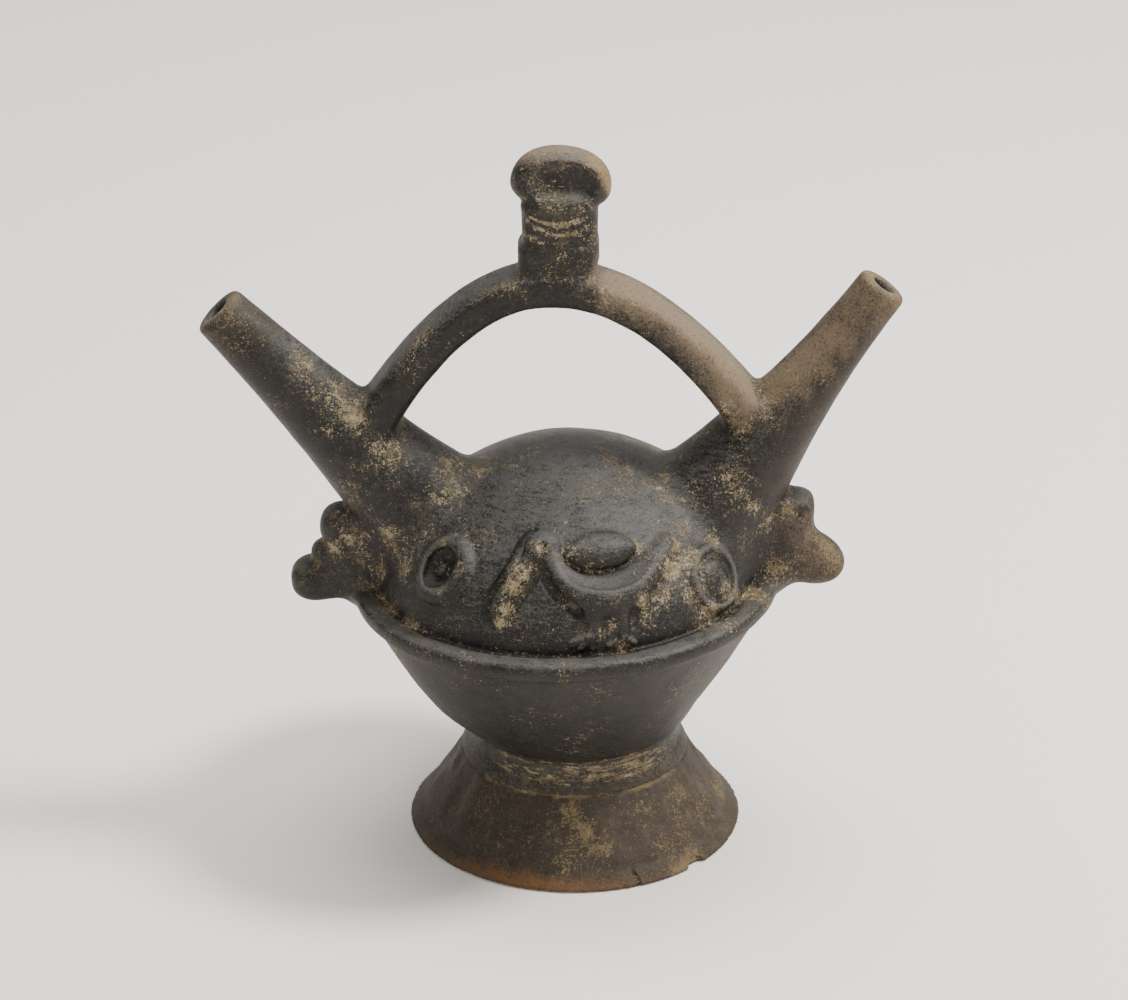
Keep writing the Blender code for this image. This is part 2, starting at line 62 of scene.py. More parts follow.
# Foot
FOOT_RADIUS = 47.3
FOOT_LIP = 1.5
FOOT_CURVE = 1.43
FOOT_RIM_WIDTH = 5.0
WAIST_RADIUS = 28.5
WAIST_HEIGHT = 31.5
COLLAR_LOW = 22.3
COLLAR_RISE = 0.45
COLLAR_GROOVE = 27.0
RIM_GROOVE = 4.6

# Bowl, flange and dome
BOWL_RADIUS = 56.6
BOWL_DEPTH = 39.8
BOWL_CURVE = 0.75
FLANGE_OVERHANG = 2.4
FLANGE_THICKNESS = 4.8
LEDGE_WIDTH = 7.0
DOME_HEIGHT = 39.5
DOME_EXPONENT = 1.7

# Clay thickness
WALL = 5.0
FLOOR = 6.0
SPOUT_WALL = 4.4

# Spouts, left and right
SPOUT_ROOT_INSET = {-1: 19.9, 1: 16.6}
SPOUT_ROOT_CLIMB = 0.345
SPOUT_LENGTH = {-1: 91.5, 1: 85.5}
SPOUT_TILT = {-1: 42.4, 1: 36.2}
SPOUT_TIP_RADIUS = {-1: 7.45, 1: 7.05}
SPOUT_ROOT_RADIUS = {-1: 20.0, 1: 21.3}
SPOUT_FLARE = {-1: 0.65, 1: 1.0}
LIP_ROUND = 1.1

# Strap bridge
HANDLE_GAP = 41.6
STRAP_DEPTH = 17.6
STRAP_THICKNESS = 10.0
STRAP_END_GROWTH = 0.22
STRAP_END_POWER = 4
STRAP_JOIN = {-1: 55.0, 1: 52.9}
STRAP_CREST_SHIFT = -3.8
STRAP_EXPONENT = 4.0

# How widely clay is blended into clay, and how far the edges of hollows are rounded
BODY_BLEND = 3.0
SPOUT_BLEND = 4.5
STRAP_BLEND = 2.8
NECK_BLEND = 6.0
CHAMBER_ROUND = 1.5
HOLLOW_ROUND = 0.8

# The bowl sits a little askew on its foot
LEAN = 0.027
LEAN_OFFSET = -2.2
LEAN_BLEND = 0.25

# Heights that follow
FLANGE_UNDERSIDE = WAIST_HEIGHT + BOWL_DEPTH
FLANGE_RADIUS = BOWL_RADIUS + FLANGE_OVERHANG
DOME_BASE = FLANGE_UNDERSIDE + FLANGE_THICKNESS
DOME_RADIUS = FLANGE_RADIUS - LEDGE_WIDTH
DOME_TOP = DOME_BASE + DOME_HEIGHT
CREST = DOME_TOP + HANDLE_GAP + STRAP_THICKNESS / 2

Form = namedtuple("Form", "low high distance blend kind")


# Small tools for shapes

def smooth_line(points, steps=4):
    """Add points between the given ones, on a curve that passes through them all."""
    points = np.asarray(points, float)
    padded = np.vstack([points[:1], points, points[-1:]])
    line = []
    for before, start, end, after in zip(padded, padded[1:], padded[2:], padded[3:]):
        for step in range(steps):
            t = step / steps
            line.append(0.5 * (2 * start + (end - before) * t
                               + (2 * before - 5 * start + 4 * end - after) * t ** 2
                               + (3 * start - before - 3 * end + after) * t ** 3))
    line.append(points[-1])
    return np.array(line)


def smooth_union(a, b, blend):
    """Join two forms with a fillet."""
    mix = np.clip(0.5 + 0.5 * (b - a) / blend, 0.0, 1.0)
    return b + (a - b) * mix - blend * mix * (1.0 - mix)


def smooth_cut(a, tool, blend):
    """Take a tool away from a form, with a rounded edge."""
    return -smooth_union(-a, tool, blend)


def outline_distance(outline, a, b):
    """Distance from points to a closed outline, negative inside.  Sides on the axis don't count."""
    nearest = np.full(np.broadcast(a, b).shape, 1e9)
    inside = np.zeros(nearest.shape, bool)
    for (a0, b0), (a1, b1) in zip(outline, np.roll(outline, -1, axis=0)):
        run_a, run_b = a1 - a0, b1 - b0
        crosses = (b0 > b) != (b1 > b)
        if run_b:
            inside ^= crosses & (a < a0 + (b - b0) * run_a / run_b)
        if a0 <= 0 and a1 <= 0:
            continue
        length = max(run_a ** 2 + run_b ** 2, 1e-12)
        along = np.clip(((a - a0) * run_a + (b - b0) * run_b) / length, 0.0, 1.0)
        gap = np.hypot(a - a0 - along * run_a, b - b0 - along * run_b)
        nearest = np.minimum(nearest, gap)
    return np.where(inside, -nearest, nearest)


def read_table(table, low, a, b):
    """Read a table of values at points on its plane, along straight lines."""
    rows = np.clip((a - low[0]) / TABLE_CELL, 0, table.shape[0] - 1.001)
    columns = np.clip((b - low[1]) / TABLE_CELL, 0, table.shape[1] - 1.001)
    row, column = rows.astype(np.int32), columns.astype(np.int32)
    across, up = rows - row, columns - column
    near = table[row, column] * (1 - across) + table[row + 1, column] * across
    far = table[row, column + 1] * (1 - across) + table[row + 1, column + 1] * across
    return near * (1 - up) + far * up


def turned(outline):
    """A turned form from its section (radius, height): distance by radius and height."""
    outline = np.asarray(outline, float)
    margin = REACH + 3
    low = (0.0, outline[:, 1].min() - margin)
    radii = np.arange(low[0], outline[:, 0].max() + margin, TABLE_CELL)
    heights = np.arange(low[1], outline[:, 1].max() + margin, TABLE_CELL)
    table = outline_distance(outline, radii[:, None], heights[None, :])
    return lambda radius, height: read_table(table, low, radius, height)


def noise(x, y, z, size, seed):
    """Soft random values between -1 and 1 in blobs of a given size."""
    count = 32
    lattice = np.random.default_rng(seed).random((count, count, count)) * 2 - 1
    cells, shares = [], []
    for value in (x, y, z):
        scaled = np.asarray(value, float) / size
        cell = np.floor(scaled)
        share = scaled - cell
        cells.append(cell.astype(np.int64) % count)
        shares.append(share * share * (3 - 2 * share))
    total = 0.0
    for corner in range(8):
        weight, index = 1.0, []
        for axis in range(3):
            step = (corner >> axis) & 1
            index.append((cells[axis] + step) % count)
            weight = weight * (shares[axis] if step else 1 - shares[axis])
        total = total + weight * lattice[tuple(index)]
    return total


# The turned body

def foot_radius(height):
    fall = max(1.0 - height / WAIST_HEIGHT, 0.0)
    return WAIST_RADIUS + (FOOT_RADIUS - WAIST_RADIUS) * fall ** FOOT_CURVE


def bowl_radius(height):
    climb = max((height - WAIST_HEIGHT) / BOWL_DEPTH, 0.0)
    return WAIST_RADIUS + (BOWL_RADIUS - WAIST_RADIUS) * climb ** BOWL_CURVE


def dome_section(climb, radius=DOME_RADIUS, height=DOME_HEIGHT):
    """Radius and height on the outline of a dome, by the angle of climb."""
    power = 2 / DOME_EXPONENT
    return np.array([radius * max(math.cos(climb), 0.0) ** power,
                     DOME_BASE + height * math.sin(climb) ** power])


def dome_outline(radius, height, count):
    outline = [dome_section(climb, radius, height) for climb in np.linspace(math.pi / 2, 0.0, count)]
    outline[0] = (0.0, DOME_BASE + height)
    return outline


def bowl_outline():
    """Dome, ledge, flange and bowl, down to the waist."""
    flange = [(0.0, 0.98), (0.12, 0.97), (0.35, 1.05), (0.72, 1.03), (0.90, 0.93), (0.985, 0.72),
              (1.0, 0.50), (0.97, 0.22), (0.90, 0.05), (0.76, -0.03)]
    outline = dome_outline(DOME_RADIUS, DOME_HEIGHT, 48)[:-1]
    for out, up in smooth_line(flange):
        outline.append((DOME_RADIUS + out * LEDGE_WIDTH, FLANGE_UNDERSIDE + up * FLANGE_THICKNESS))
    for height in np.linspace(FLANGE_UNDERSIDE - 1.5, WAIST_HEIGHT, 30):
        outline.append((bowl_radius(height), height))
    outline.append((0.0, WAIST_HEIGHT))
    return outline


def foot_outline():
    """The flared foot: a collar under the waist, the flare and the standing rim."""
    outline = [(0.0, WAIST_HEIGHT + 3.0), (WAIST_RADIUS - 1.5, WAIST_HEIGHT + 3.0)]
    for height in np.linspace(WAIST_HEIGHT, COLLAR_LOW + 0.3, 12):
        dip = 0.35 * math.exp(-((height - COLLAR_GROOVE) / 0.8) ** 2)
        outline.append((foot_radius(height) + COLLAR_RISE - dip, height))
    outline.append((foot_radius(COLLAR_LOW) - 0.35, COLLAR_LOW - 0.3))
    for height in np.linspace(COLLAR_LOW - 1.2, FOOT_LIP, 40):
        dip = 0.4 * math.exp(-((height - RIM_GROOVE) / 0.9) ** 2)
        outline.append((foot_radius(height) - dip, height))
    outline += [(FOOT_RADIUS - 0.25, 0.5), (FOOT_RADIUS - 0.9, 0.0), (0.0, 0.0)]
    return outline


def chamber_outline():
    floor = WAIST_HEIGHT + FLOOR / 2
    outline = dome_outline(DOME_RADIUS - WALL, DOME_HEIGHT - WALL, 24)
    for height in np.linspace(FLANGE_UNDERSIDE, floor + 2.0, 16):
        outline.append((bowl_radius(height) - 1.2 * WALL, height))
    outline += [(bowl_radius(floor) - 2.2 * WALL, floor), (0.0, floor)]
    return outline


def foot_hollow_outline():
    ceiling = WAIST_HEIGHT - FLOOR / 2
    inner = foot_radius(ceiling) - FOOT_RIM_WIDTH
    outline = [(0.0, ceiling), (0.75 * inner, ceiling), (0.95 * inner, 0.93 * ceiling)]
    for height in np.linspace(0.85 * ceiling, 0.0, 20):
        outline.append((foot_radius(height) - FOOT_RIM_WIDTH, height))
    outline += [(FOOT_RADIUS - FOOT_RIM_WIDTH, -8.0), (0.0, -8.0)]
    return outline


# Spouts and bridge

def spout_radius(side, share):
    away = 1.0 - share
    flare = SPOUT_FLARE[side]
    growth = (1 - flare) * away + flare * away ** 2
    tip = SPOUT_TIP_RADIUS[side]
    return tip + (SPOUT_ROOT_RADIUS[side] - tip) * growth


def spout_root(side):
    out = DOME_RADIUS - SPOUT_ROOT_INSET[side]
    return np.array([side * out, 0.0, DOME_BASE + SPOUT_ROOT_CLIMB * DOME_HEIGHT])


def spout_axis(side):
    tilt = math.radians(SPOUT_TILT[side])
    return np.array([side * math.sin(tilt), 0.0, math.cos(tilt)])


def on_spout(side, along):
    return spout_root(side) + along * spout_axis(side)


def turned_on_spout(side, outline, blend, kind):
    """A form turned about a spout's own axis."""
    section = turned(outline)
    root, axis = spout_root(side), spout_axis(side)
    widest = max(radius for radius, _ in outline)
    ends = np.array([on_spout(side, min(h for _, h in outline)),
                     on_spout(side, max(h for _, h in outline))])

    def distance(x, y, z):
        away_x, away_z = x - root[0], z - root[2]
        along = away_x * axis[0] + away_z * axis[2]
        across = away_x * axis[2] - away_z * axis[0]
        return section(np.sqrt(across ** 2 + y ** 2), along)

    return Form(ends.min(0) - widest, ends.max(0) + widest, distance, blend, kind)


def spout(side):
    length, tip = SPOUT_LENGTH[side], SPOUT_TIP_RADIUS[side]
    outline = [(0.0, length), (tip - LIP_ROUND - 0.6, length + 0.05), (tip - LIP_ROUND, length),
               (tip - 0.35 * LIP_ROUND, length - 0.35 * LIP_ROUND), (tip, length - LIP_ROUND)]
    for share in np.linspace(0.97, 0.0, 30):
        outline.append((spout_radius(side, share), length * share))
    outline.append((0.0, 0.0))
    return turned_on_spout(side, outline, SPOUT_BLEND, "add")


def bore(side):
    length = SPOUT_LENGTH[side]
    mouth = SPOUT_TIP_RADIUS[side] - SPOUT_WALL
    outline = [(0.0, length + 6.0), (mouth + 0.5, length + 6.0), (mouth + 0.35, length - 0.4)]
    for share in np.linspace(0.98, 0.0, 16):
        outline.append((spout_radius(side, share) - SPOUT_WALL, length * share))
    outline.append((0.0, 0.0))
    return turned_on_spout(side, outline, HOLLOW_ROUND, "cut")


def strap_line(count):
    """The middle line of the strap, from spout to spout, as (across, up)."""
    ends = {side: on_spout(side, SPOUT_LENGTH[side] - STRAP_JOIN[side]) for side in (-1, 1)}
    crest = (ends[-1][0] + ends[1][0]) / 2 + STRAP_CREST_SHIFT
    line = []
    for x in np.linspace(ends[-1][0], ends[1][0], count):
        end = ends[-1] if x < crest else ends[1]
        fall = ((x - crest) / (end[0] - crest)) ** 2
        line.append((x, CREST - (CREST - end[2]) * fall))
    return np.array(line)


def strap():
    """The strap: a rounded section along an arch between the spouts."""
    line = strap_line(count=97)
    margin = REACH + STRAP_THICKNESS
    low = line.min(0) - margin
    high = line.max(0) + margin
    across = np.arange(low[0], high[0], TABLE_CELL)[:, None]
    up = np.arange(low[1], high[1], TABLE_CELL)[None, :]
    nearest = np.full((across.size, up.size), 1e9)
    grown = np.zeros(nearest.shape)
    for index in range(len(line) - 1):
        start, run = line[index], line[index + 1] - line[index]
        share = np.clip(((across - start[0]) * run[0] + (up - start[1]) * run[1]) / (run @ run), 0, 1)
        off_x = across - start[0] - share * run[0]
        off_z = up - start[1] - share * run[1]
        gap = np.hypot(off_x, off_z)
        closer = gap < nearest
        nearest = np.where(closer, gap, nearest)
        away = np.abs(2 * (index + share) / (len(line) - 1) - 1) ** STRAP_END_POWER
        grown = np.where(closer, 1 + STRAP_END_GROWTH * away, grown)

    def distance(x, y, z):
        grow = read_table(grown, low, x, z)
        radii = (STRAP_DEPTH / 2 * grow, STRAP_THICKNESS / 2 * grow)
        return oval_distance((y, read_table(nearest, low, x, z)), radii, STRAP_EXPONENT)

    reach = np.array([STRAP_THICKNESS, 0.0, STRAP_THICKNESS])
    box_low = np.array([line[:, 0].min(), -STRAP_DEPTH / 2, line[:, 1].min()]) - reach
    box_high = np.array([line[:, 0].max(), STRAP_DEPTH / 2, line[:, 1].max()]) + reach
    return Form(box_low, box_high, distance, STRAP_BLEND, "add")


def strap_groove():
    """A shallow drawn line along the front of the strap's left half."""
    out, below, radius = 0.15, 1.6, 0.75
    line = [(x, -out - STRAP_DEPTH / 2, z - below) for x, z in strap_line(count=25)[3:11]]
    return roll(line, radius, 0.4, "cut")


def oval_distance(offsets, radii, power=2.0):
    """About the distance to an oval with its radii along the axes, squarer with a higher power."""
    shares = [np.abs(offset) / radius for offset, radius in zip(offsets, radii)]
    level = np.maximum(sum(share ** power for share in shares), 1e-9) ** (1 / power)
    slopes = [(share / level) ** (power - 1) / radius for share, radius in zip(shares, radii)]
    return (level - 1) / np.sqrt(sum(slope ** 2 for slope in slopes))


# Modelled lumps

def ball(centre, radii, blend, kind="add", power=2.0, tilt=0.0, underside=None):
    """A rounded lump.  It may be squarer than a ball, tilted sideways or flatter below."""
    centre, radii = np.array(centre, float), np.array(radii, float)
    cosine, sine = math.cos(math.radians(tilt)), math.sin(math.radians(tilt))

    def distance(x, y, z):
        away_x, away_y, away_z = x - centre[0], y - centre[1], z - centre[2]
        a = away_x * cosine + away_z * sine
        c = away_z * cosine - away_x * sine
        high = radii[2] if underside is None else np.where(c > 0, radii[2], underside)
        return oval_distance((a, away_y, c), (radii[0], radii[1], high), power)

    reach = max(radii[0], radii[2], underside or 0.0)
    size = np.array([reach, radii[1], reach])
    return Form(centre - size, centre + size, distance, blend, kind)


def block(low_z, high_z, centre, half, power, blend, edge):
    """A squarish upright post with rounded edges."""
    middle, half_z = (low_z + high_z) / 2, (high_z - low_z) / 2 - edge

    def distance(x, y, z):
        offsets = (x - centre[0], y - centre[1])
        side = oval_distance(offsets, (half[0] - edge, half[1] - edge), power)
        end = np.abs(z - middle) - half_z
        outside = np.hypot(np.maximum(side, 0.0), np.maximum(end, 0.0))
        return outside + np.minimum(np.maximum(side, end), 0.0) - edge

    low = np.array([centre[0] - half[0], centre[1] - half[1], low_z])
    high = np.array([centre[0] + half[0], centre[1] + half[1], high_z])
    return Form(low, high, distance, blend, "add")


def roll(line, radii, blend, kind="add"):
    """A roll of clay, or a scored groove, along a line of points."""
    line = np.asarray(line, float)
    radii = np.broadcast_to(np.asarray(radii, float), (len(line),))

    def distance(x, y, z):
        nearest = 1e9
        for start, end, thick, thin in zip(line, line[1:], radii, radii[1:]):
            run = end - start
            along = ((x - start[0]) * run[0] + (y - start[1]) * run[1] + (z - start[2]) * run[2])
            along = np.clip(along / max(run @ run, 1e-9), 0.0, 1.0)
            gap = np.sqrt((x - start[0] - along * run[0]) ** 2
                          + (y - start[1] - along * run[1]) ** 2
                          + (z - start[2] - along * run[2]) ** 2)
            nearest = np.minimum(nearest, gap - thick - (thin - thick) * along)
        return nearest

    widest = radii.max()
    return Form(line.min(0) - widest, line.max(0) + widest, distance, blend, kind)


def dome_point(azimuth, share, lift=0.0):
    """A point on the dome, or a height above it: degrees from the front, share of climb."""
    turn = math.radians(azimuth)
    if azimuth > 90:
        lift -= BACK_SINK
    before, here, after = (dome_section(min(max(step, 0.0), 1.0) * math.pi / 2)
                           for step in (share - 0.02, share, share + 0.02))
    radius, height = here
    run = after - before
    slope = np.array([run[1], -run[0]]) / np.hypot(*run)
    outward = np.array([math.sin(turn), -math.cos(turn), 0.0])
    normal = outward * slope[0] + np.array([0.0, 0.0, slope[1]])
    return outward * radius + np.array([0.0, 0.0, height]) + normal * lift


def on_dome(places, lift, mirror=0.0):
    return [dome_point(mirror + azimuth, share, lift) for azimuth, share in places]


def sunk_roll(places, radii, blend, mirror):
    """A tapering roll laid on the dome, sunk in it by a share of its own thickness."""
    line = []
    for (azimuth, share), radius in zip(places, radii):
        line.append([*dome_point(mirror + azimuth, share, -SINK * radius), radius])
    line = smooth_line(line, steps=6)
    return roll(line[:, :3], line[:, 3], blend)


def dome_frame(place, lift, mirror):
    """A point on the dome, and the directions around, up and out of the dome there."""
    azimuth, share = mirror + place[0], place[1]
    turn = math.radians(azimuth)
    around = np.array([math.cos(turn), math.sin(turn), 0.0])
    outward = dome_point(azimuth, share, 1.0) - dome_point(azimuth, share)
    return dome_point(azimuth, share, lift), (around, np.cross(outward, around), outward)


def dome_pad(place, radii, lift, blend, kind="add", mirror=0.0):
    """An oval pad on the dome: radii around, up and out of it."""
    centre, axes = dome_frame(place, lift, mirror)

    def distance(x, y, z):
        away = (x - centre[0], y - centre[1], z - centre[2])
        return oval_distance([sum(axis[i] * away[i] for i in range(3)) for axis in axes], radii)

    reach = max(radii)
    return Form(centre - reach, centre + reach, distance, blend, kind)


def both(first, second):
    """What two forms share, such as the pointed oval where two pads cross."""
    def distance(x, y, z):
        return -smooth_union(-first.distance(x, y, z), -second.distance(x, y, z), 0.6)

    return Form(np.maximum(first.low, second.low), np.minimum(first.high, second.high),
                distance, first.blend, first.kind)


# Relief on the dome: (degrees from the front, share of the climb)

# How deep rolls are sunk, by their radius, and how much deeper all lies on the back, in mm
SINK = 0.42
BACK_SINK = 1.3

BODY_LINE = [(-9, 0.455), (-4.5, 0.405), (0.5, 0.335), (7, 0.282), (14.5, 0.264),
             (22, 0.284), (30, 0.335), (37.5, 0.378), (42, 0.408)]
BODY_RADII = [3.2, 3.8, 4.6, 5.8, 6.4, 5.8, 4.8, 4, 3]
BEAK_LINE = [(-12, 0.47), (-16, 0.405), (-19.8, 0.31), (-22.3, 0.225), (-21.2, 0.15)]
BEAK_RADII = [3.4, 3.4, 3.2, 2.7, 1.5]
BEAK_MOUTH = [(-15.6, 0.392), (-18.6, 0.31), (-20.8, 0.222), (-20.9, 0.165)]
BEAK_OUTSIDE = [(-14.6, 0.53), (-17.9, 0.48), (-20.3, 0.4), (-24, 0.312), (-26.4, 0.24),
                (-25.6, 0.175), (-22.4, 0.125)]
BEAK_INSIDE = [(-9.6, 0.392), (-13.2, 0.322), (-17.2, 0.236), (-19.3, 0.165)]
BODY_BELOW_LEFT = [(-8.6, 0.385), (-6.6, 0.335), (-2.6, 0.282), (2.4, 0.236), (4.2, 0.195)]
BODY_BELOW_RIGHT = [(45.5, 0.385), (40, 0.318), (30.5, 0.258), (23.4, 0.212), (20.9, 0.16),
                    (21.4, 0.105)]
LEGS = [([(8.4, 0.24), (8.3, 0.17), (7.2, 0.105)], [3.4, 2.6, 2]),
        ([(16.5, 0.22), (17, 0.14), (16.6, 0.08)], [3.6, 2.7, 2])]
TOES = [[(7, 0.108), (1.9, 0.078)], [(7, 0.105), (4.2, 0.052)], [(7.2, 0.105), (7.6, 0.044)],
        [(16.6, 0.085), (12.6, 0.052)], [(16.6, 0.08), (15.9, 0.026)], [(16.8, 0.085), (20.2, 0.044)]]
TOE_RADII = [1.35, 0.9]
HEAD_PAD = ((-10.8, 0.466), (5.6, 4.9, 2.9))
LENS_HOLLOW = ((14.5, 0.425), (14.6, 10.4, 4))
LENS_PLACE = (14, 0.44)
LENS_RADII = (11.4, 9, 3.9)
LENS_SHIFT = 0.049
DOME_LINE = [(-63, 0.56), (-50, 0.635), (-35, 0.69), (12, 0.735), (57, 0.655)]
EYE_PLACE = (-9.4, 0.458)
EYE_RING = (1.75, 1.75)
EYE_PIT = (1.1, 1.1, 1.3)

# Grooves that set the bird off: (line, radius, lift)
GROOVES = [(BEAK_OUTSIDE, 1.6, 0.5), (BEAK_INSIDE, 1.5, 0.55), (BEAK_MOUTH, 0.7, 1.7),
           (BODY_BELOW_LEFT, 1.6, 0.9), (BODY_BELOW_RIGHT, 1.6, 0.9), (DOME_LINE, 1.6, 1.4)]

# Ear ornaments: ring (place, radii, thickness), dish (place, radii), boss (place, radii)
EARS = [
    (((-47.3, 0.31), (7, 7.4), 2.6), ((-49.2, 0.312), (4.5, 6, 2.4)),
     ((-49, 0.305), (1.8, 2.2, 1.3))),
    (((55, 0.205), (8.4, 7.9), 1.25), ((55, 0.205), (7.2, 7, 1.2)),
     ((55.8, 0.200), (5.3, 5.8, 2.6))),
]


def bird(mirror):
    """The long-beaked bird in low relief, with the lens-shaped boss over its back."""
    forms = [
        sunk_roll(BODY_LINE, BODY_RADII, 1.3, mirror),
        sunk_roll(BEAK_LINE, BEAK_RADII, 0.6, mirror),
        dome_pad(*HEAD_PAD, -0.3, 1.3, mirror=mirror),
    ]
    for line, radii in LEGS:
        forms.append(sunk_roll(line, radii, 1.2, mirror))
    for toe in TOES:
        forms.append(roll(on_dome(toe, -0.1, mirror), TOE_RADII, 0.7))
    forms.append(dome_pad(*LENS_HOLLOW, 2.5, 1.0, "cut", mirror))
    pads = [dome_pad((LENS_PLACE[0], LENS_PLACE[1] + shift), LENS_RADII, -0.4, 0.5, mirror=mirror)
            for shift in (-LENS_SHIFT, LENS_SHIFT)]
    forms.append(both(*pads))
    return forms


def grooves():
    """The grooves, thin at their ends."""
    forms = []
    for line, radius, lift in GROOVES:
        points = smooth_line(on_dome(line, lift))
        share = np.linspace(0.0, 1.0, len(points))
        taper = np.clip(0.4 + 5.0 * np.minimum(share, 1.0 - share), 0.0, 1.0)
        forms.append(roll(points, radius * taper, 0.6, "cut"))
    return forms


def ring_line(place, radii, lift, mirror=0.0):
    """A closed ring of points that lies on the dome: radii around and up."""
    centre, (around, climb, _) = dome_frame(place, lift, mirror)
    angles = np.linspace(0.0, 2 * math.pi, 25)
    return [centre + radii[0] * math.cos(a) * around + radii[1] * math.sin(a) * climb for a in angles]


def ears(mirror):
    """Round ear ornaments: a raised ring with a low boss in it."""
    forms = []
    for (place, radii, thickness), dish, boss in EARS:
        line = ring_line(place, radii, 0.3 - 0.5 * thickness, mirror)
        forms.append(roll(line, thickness, 1.2))
        forms.append(dome_pad(*dish, 0.4, 0.9, "cut", mirror))
        forms.append(dome_pad(*boss, -1.2, 0.6, mirror=mirror))
    return forms


def eye():
    """A thin ring around a small pit."""
    ring = roll(ring_line(EYE_PLACE, EYE_RING, 2.3), 0.55, 0.4)
    pit = dome_pad(EYE_PLACE, EYE_PIT, 2.9, 0.4, "cut")
    return [ring, pit]


# Animal heads: lumps (out from the axis, height, reach out, half width, half height, power,
# tilt down)

HEADS = {
    -1: [(56.5, 83, 10, 9.4, 13, 2.3, 0), (61.3, 92.4, 6.9, 7.6, 6.2, 2.3, 0),
         (65.2, 84.3, 5.7, 6, 3.7, 2.3, 0), (66.7, 76.9, 9.8, 8.2, 5.7, 2.7, 4)],
    1: [(56.5, 83, 10, 9.6, 13, 2.3, 0), (61.8, 94.2, 6.7, 6.8, 4.2, 2.8, 0),
        (62.2, 86.6, 6.4, 7.6, 6.4, 2.4, 0), (66.2, 78.8, 11.5, 8, 7.3, 2.1, 21)],
}

HEAD_BLEND = {-1: 2.2, 1: 3.4}

# Scored lines
SCORE_RADIUS = 0.55

# Scored eyes and lines on the heads, as (out from the axis, depth, height)
HEAD_SCORES = {
    -1: [[(69.4, -4.6, 83.5), (70.3, -4.2, 82.7), (69.4, -4.6, 81.8), (68.4, -5, 82.6),
          (69.4, -4.6, 83.5)],
         [(67.9, -0.4, 87.6), (68.2, -3.2, 86.6), (67.9, -5, 84.6)],
         [(71.2, -0.4, 83.6), (71.4, -3.4, 83), (71.3, -5.4, 81.4)],
         [(66.9, -0.4, 88.9), (65.6, -4, 88.9), (63.4, -6.4, 88.2)]],
    1: [[(66.6, -3.6, 91), (67.8, -2.4, 89.9), (67.6, -3.4, 88.6), (66.4, -4.4, 89.4),
         (66.6, -3.6, 91)],
        [(67.9, -3.2, 88), (69.4, -2, 86.6), (68.9, -3.6, 85.4), (67.6, -4.6, 86.4),
         (67.9, -3.2, 88)],
        [(64.4, -6.6, 86.2), (66.9, -5.6, 84.8), (68.6, -4.2, 86)],
        [(62.3, -7, 95.5), (64.9, -6.4, 92.6), (66.9, -5, 91.4)]],
}


def head(side):
    """The neck runs smoothly out of the dome; the lumps on it are set off more sharply."""
    blends = (NECK_BLEND, *[HEAD_BLEND[side]] * 3)
    return [ball((side * out, 0.0, height), (reach, width, tall), blend, power=power, tilt=-side * tilt)
            for blend, (out, height, reach, width, tall, power, tilt) in zip(blends, HEADS[side])]


def head_scores(side):
    lines = []
    for line in HEAD_SCORES[side]:
        points = [(side * out, depth, height) for out, depth, height in line]
        lines.append(roll(smooth_line(points), SCORE_RADIUS, 0.3, "cut"))
    return lines


# Figure on the crest of the bridge

FIGURE_MIDDLE = -1.5
FIGURE_FRONT = -7.6
FIGURE_HALF_WIDTH = 11.0
FIGURE_CORNER = 3.0

# Trunk and waist: bottom, top, middle, half width and depth, power, blend, rounding of the edges
FIGURE_BLOCKS = [
    (-9.0, 7.6, (-0.4, 0.3), (10.8, 8.1), 5.5, 1.6, 1.8),
    (2.0, 19.5, (0.3, 0.2), (10.2, 7.8), 4.5, 1.6, 1.2),
]
FIGURE_POWER = 2.2

# Scored lines on the trunk, as (across, height)
FIGURE_SCORES = [
    [(-9, 184), (-6, 182.5), (-2.6, 181.8), (0.9, 181.8), (6.4, 183.4)],
    [(-9.8, 182.6), (-7.1, 180.4), (-3.7, 179.2), (1.2, 179.2), (6.6, 180.6)],
    [(-11, 178.3), (-8.6, 177.6), (-5.8, 176.7)],
]


def figure():
    """A squarish trunk with a broad headdress on it."""
    base = CREST + STRAP_THICKNESS / 2
    forms = []
    for low, high, (x, y), *rest in FIGURE_BLOCKS:
        forms.append(block(base + low, base + high, (FIGURE_MIDDLE + x, y), *rest))
    forms.append(ball((-0.9, 0.0, 190.3), (13.5, 8.9, 10.3), 0.8, "add", FIGURE_POWER, -8.0, 6.4))
    return forms


def figure_face():
    """The hollow of the headdress, deepest under its brow, and the chin below it."""
    recess = ball((1.2, -11.2, 195.0), (12.4, 6.6, 5.2), 0.9, "cut", FIGURE_POWER, -10.0, 11.5)
    chin = ball((-1.8, -4.2, 186.0), (9.4, 4.7, 3.6), 1.6, "add", FIGURE_POWER)
    return [recess, chin]


def figure_scores():
    """The lines bend back where the trunk's corners are rounded."""
    lines = [[(x, FIGURE_FRONT + FIGURE_CORNER * (x / FIGURE_HALF_WIDTH) ** 6, z) for x, z in line]
             for line in FIGURE_SCORES]
    return [roll(smooth_line(line), SCORE_RADIUS, 0.25, "cut") for line in lines]


# Damage at the foot's rim: a chip, as (degrees, out of the rim, height, radii), and a short
# crack, as (degrees, height, radius)

CHIP = [(46.5, 0.6, 0.2, (3.4, 3.4, 4.4)), (42.5, 0.8, 4.2, (3.2, 3.2, 2.8))]
CRACK = [(21.5, -0.5, 0.75), (22.1, 1.6, 0.65), (21.0, 3.4, 0.6), (22.0, 5.8, 0.4)]


def at_foot(azimuth, radius, height):
    turn = math.radians(azimuth)
    return np.array([radius * math.sin(turn), -radius * math.cos(turn), height])


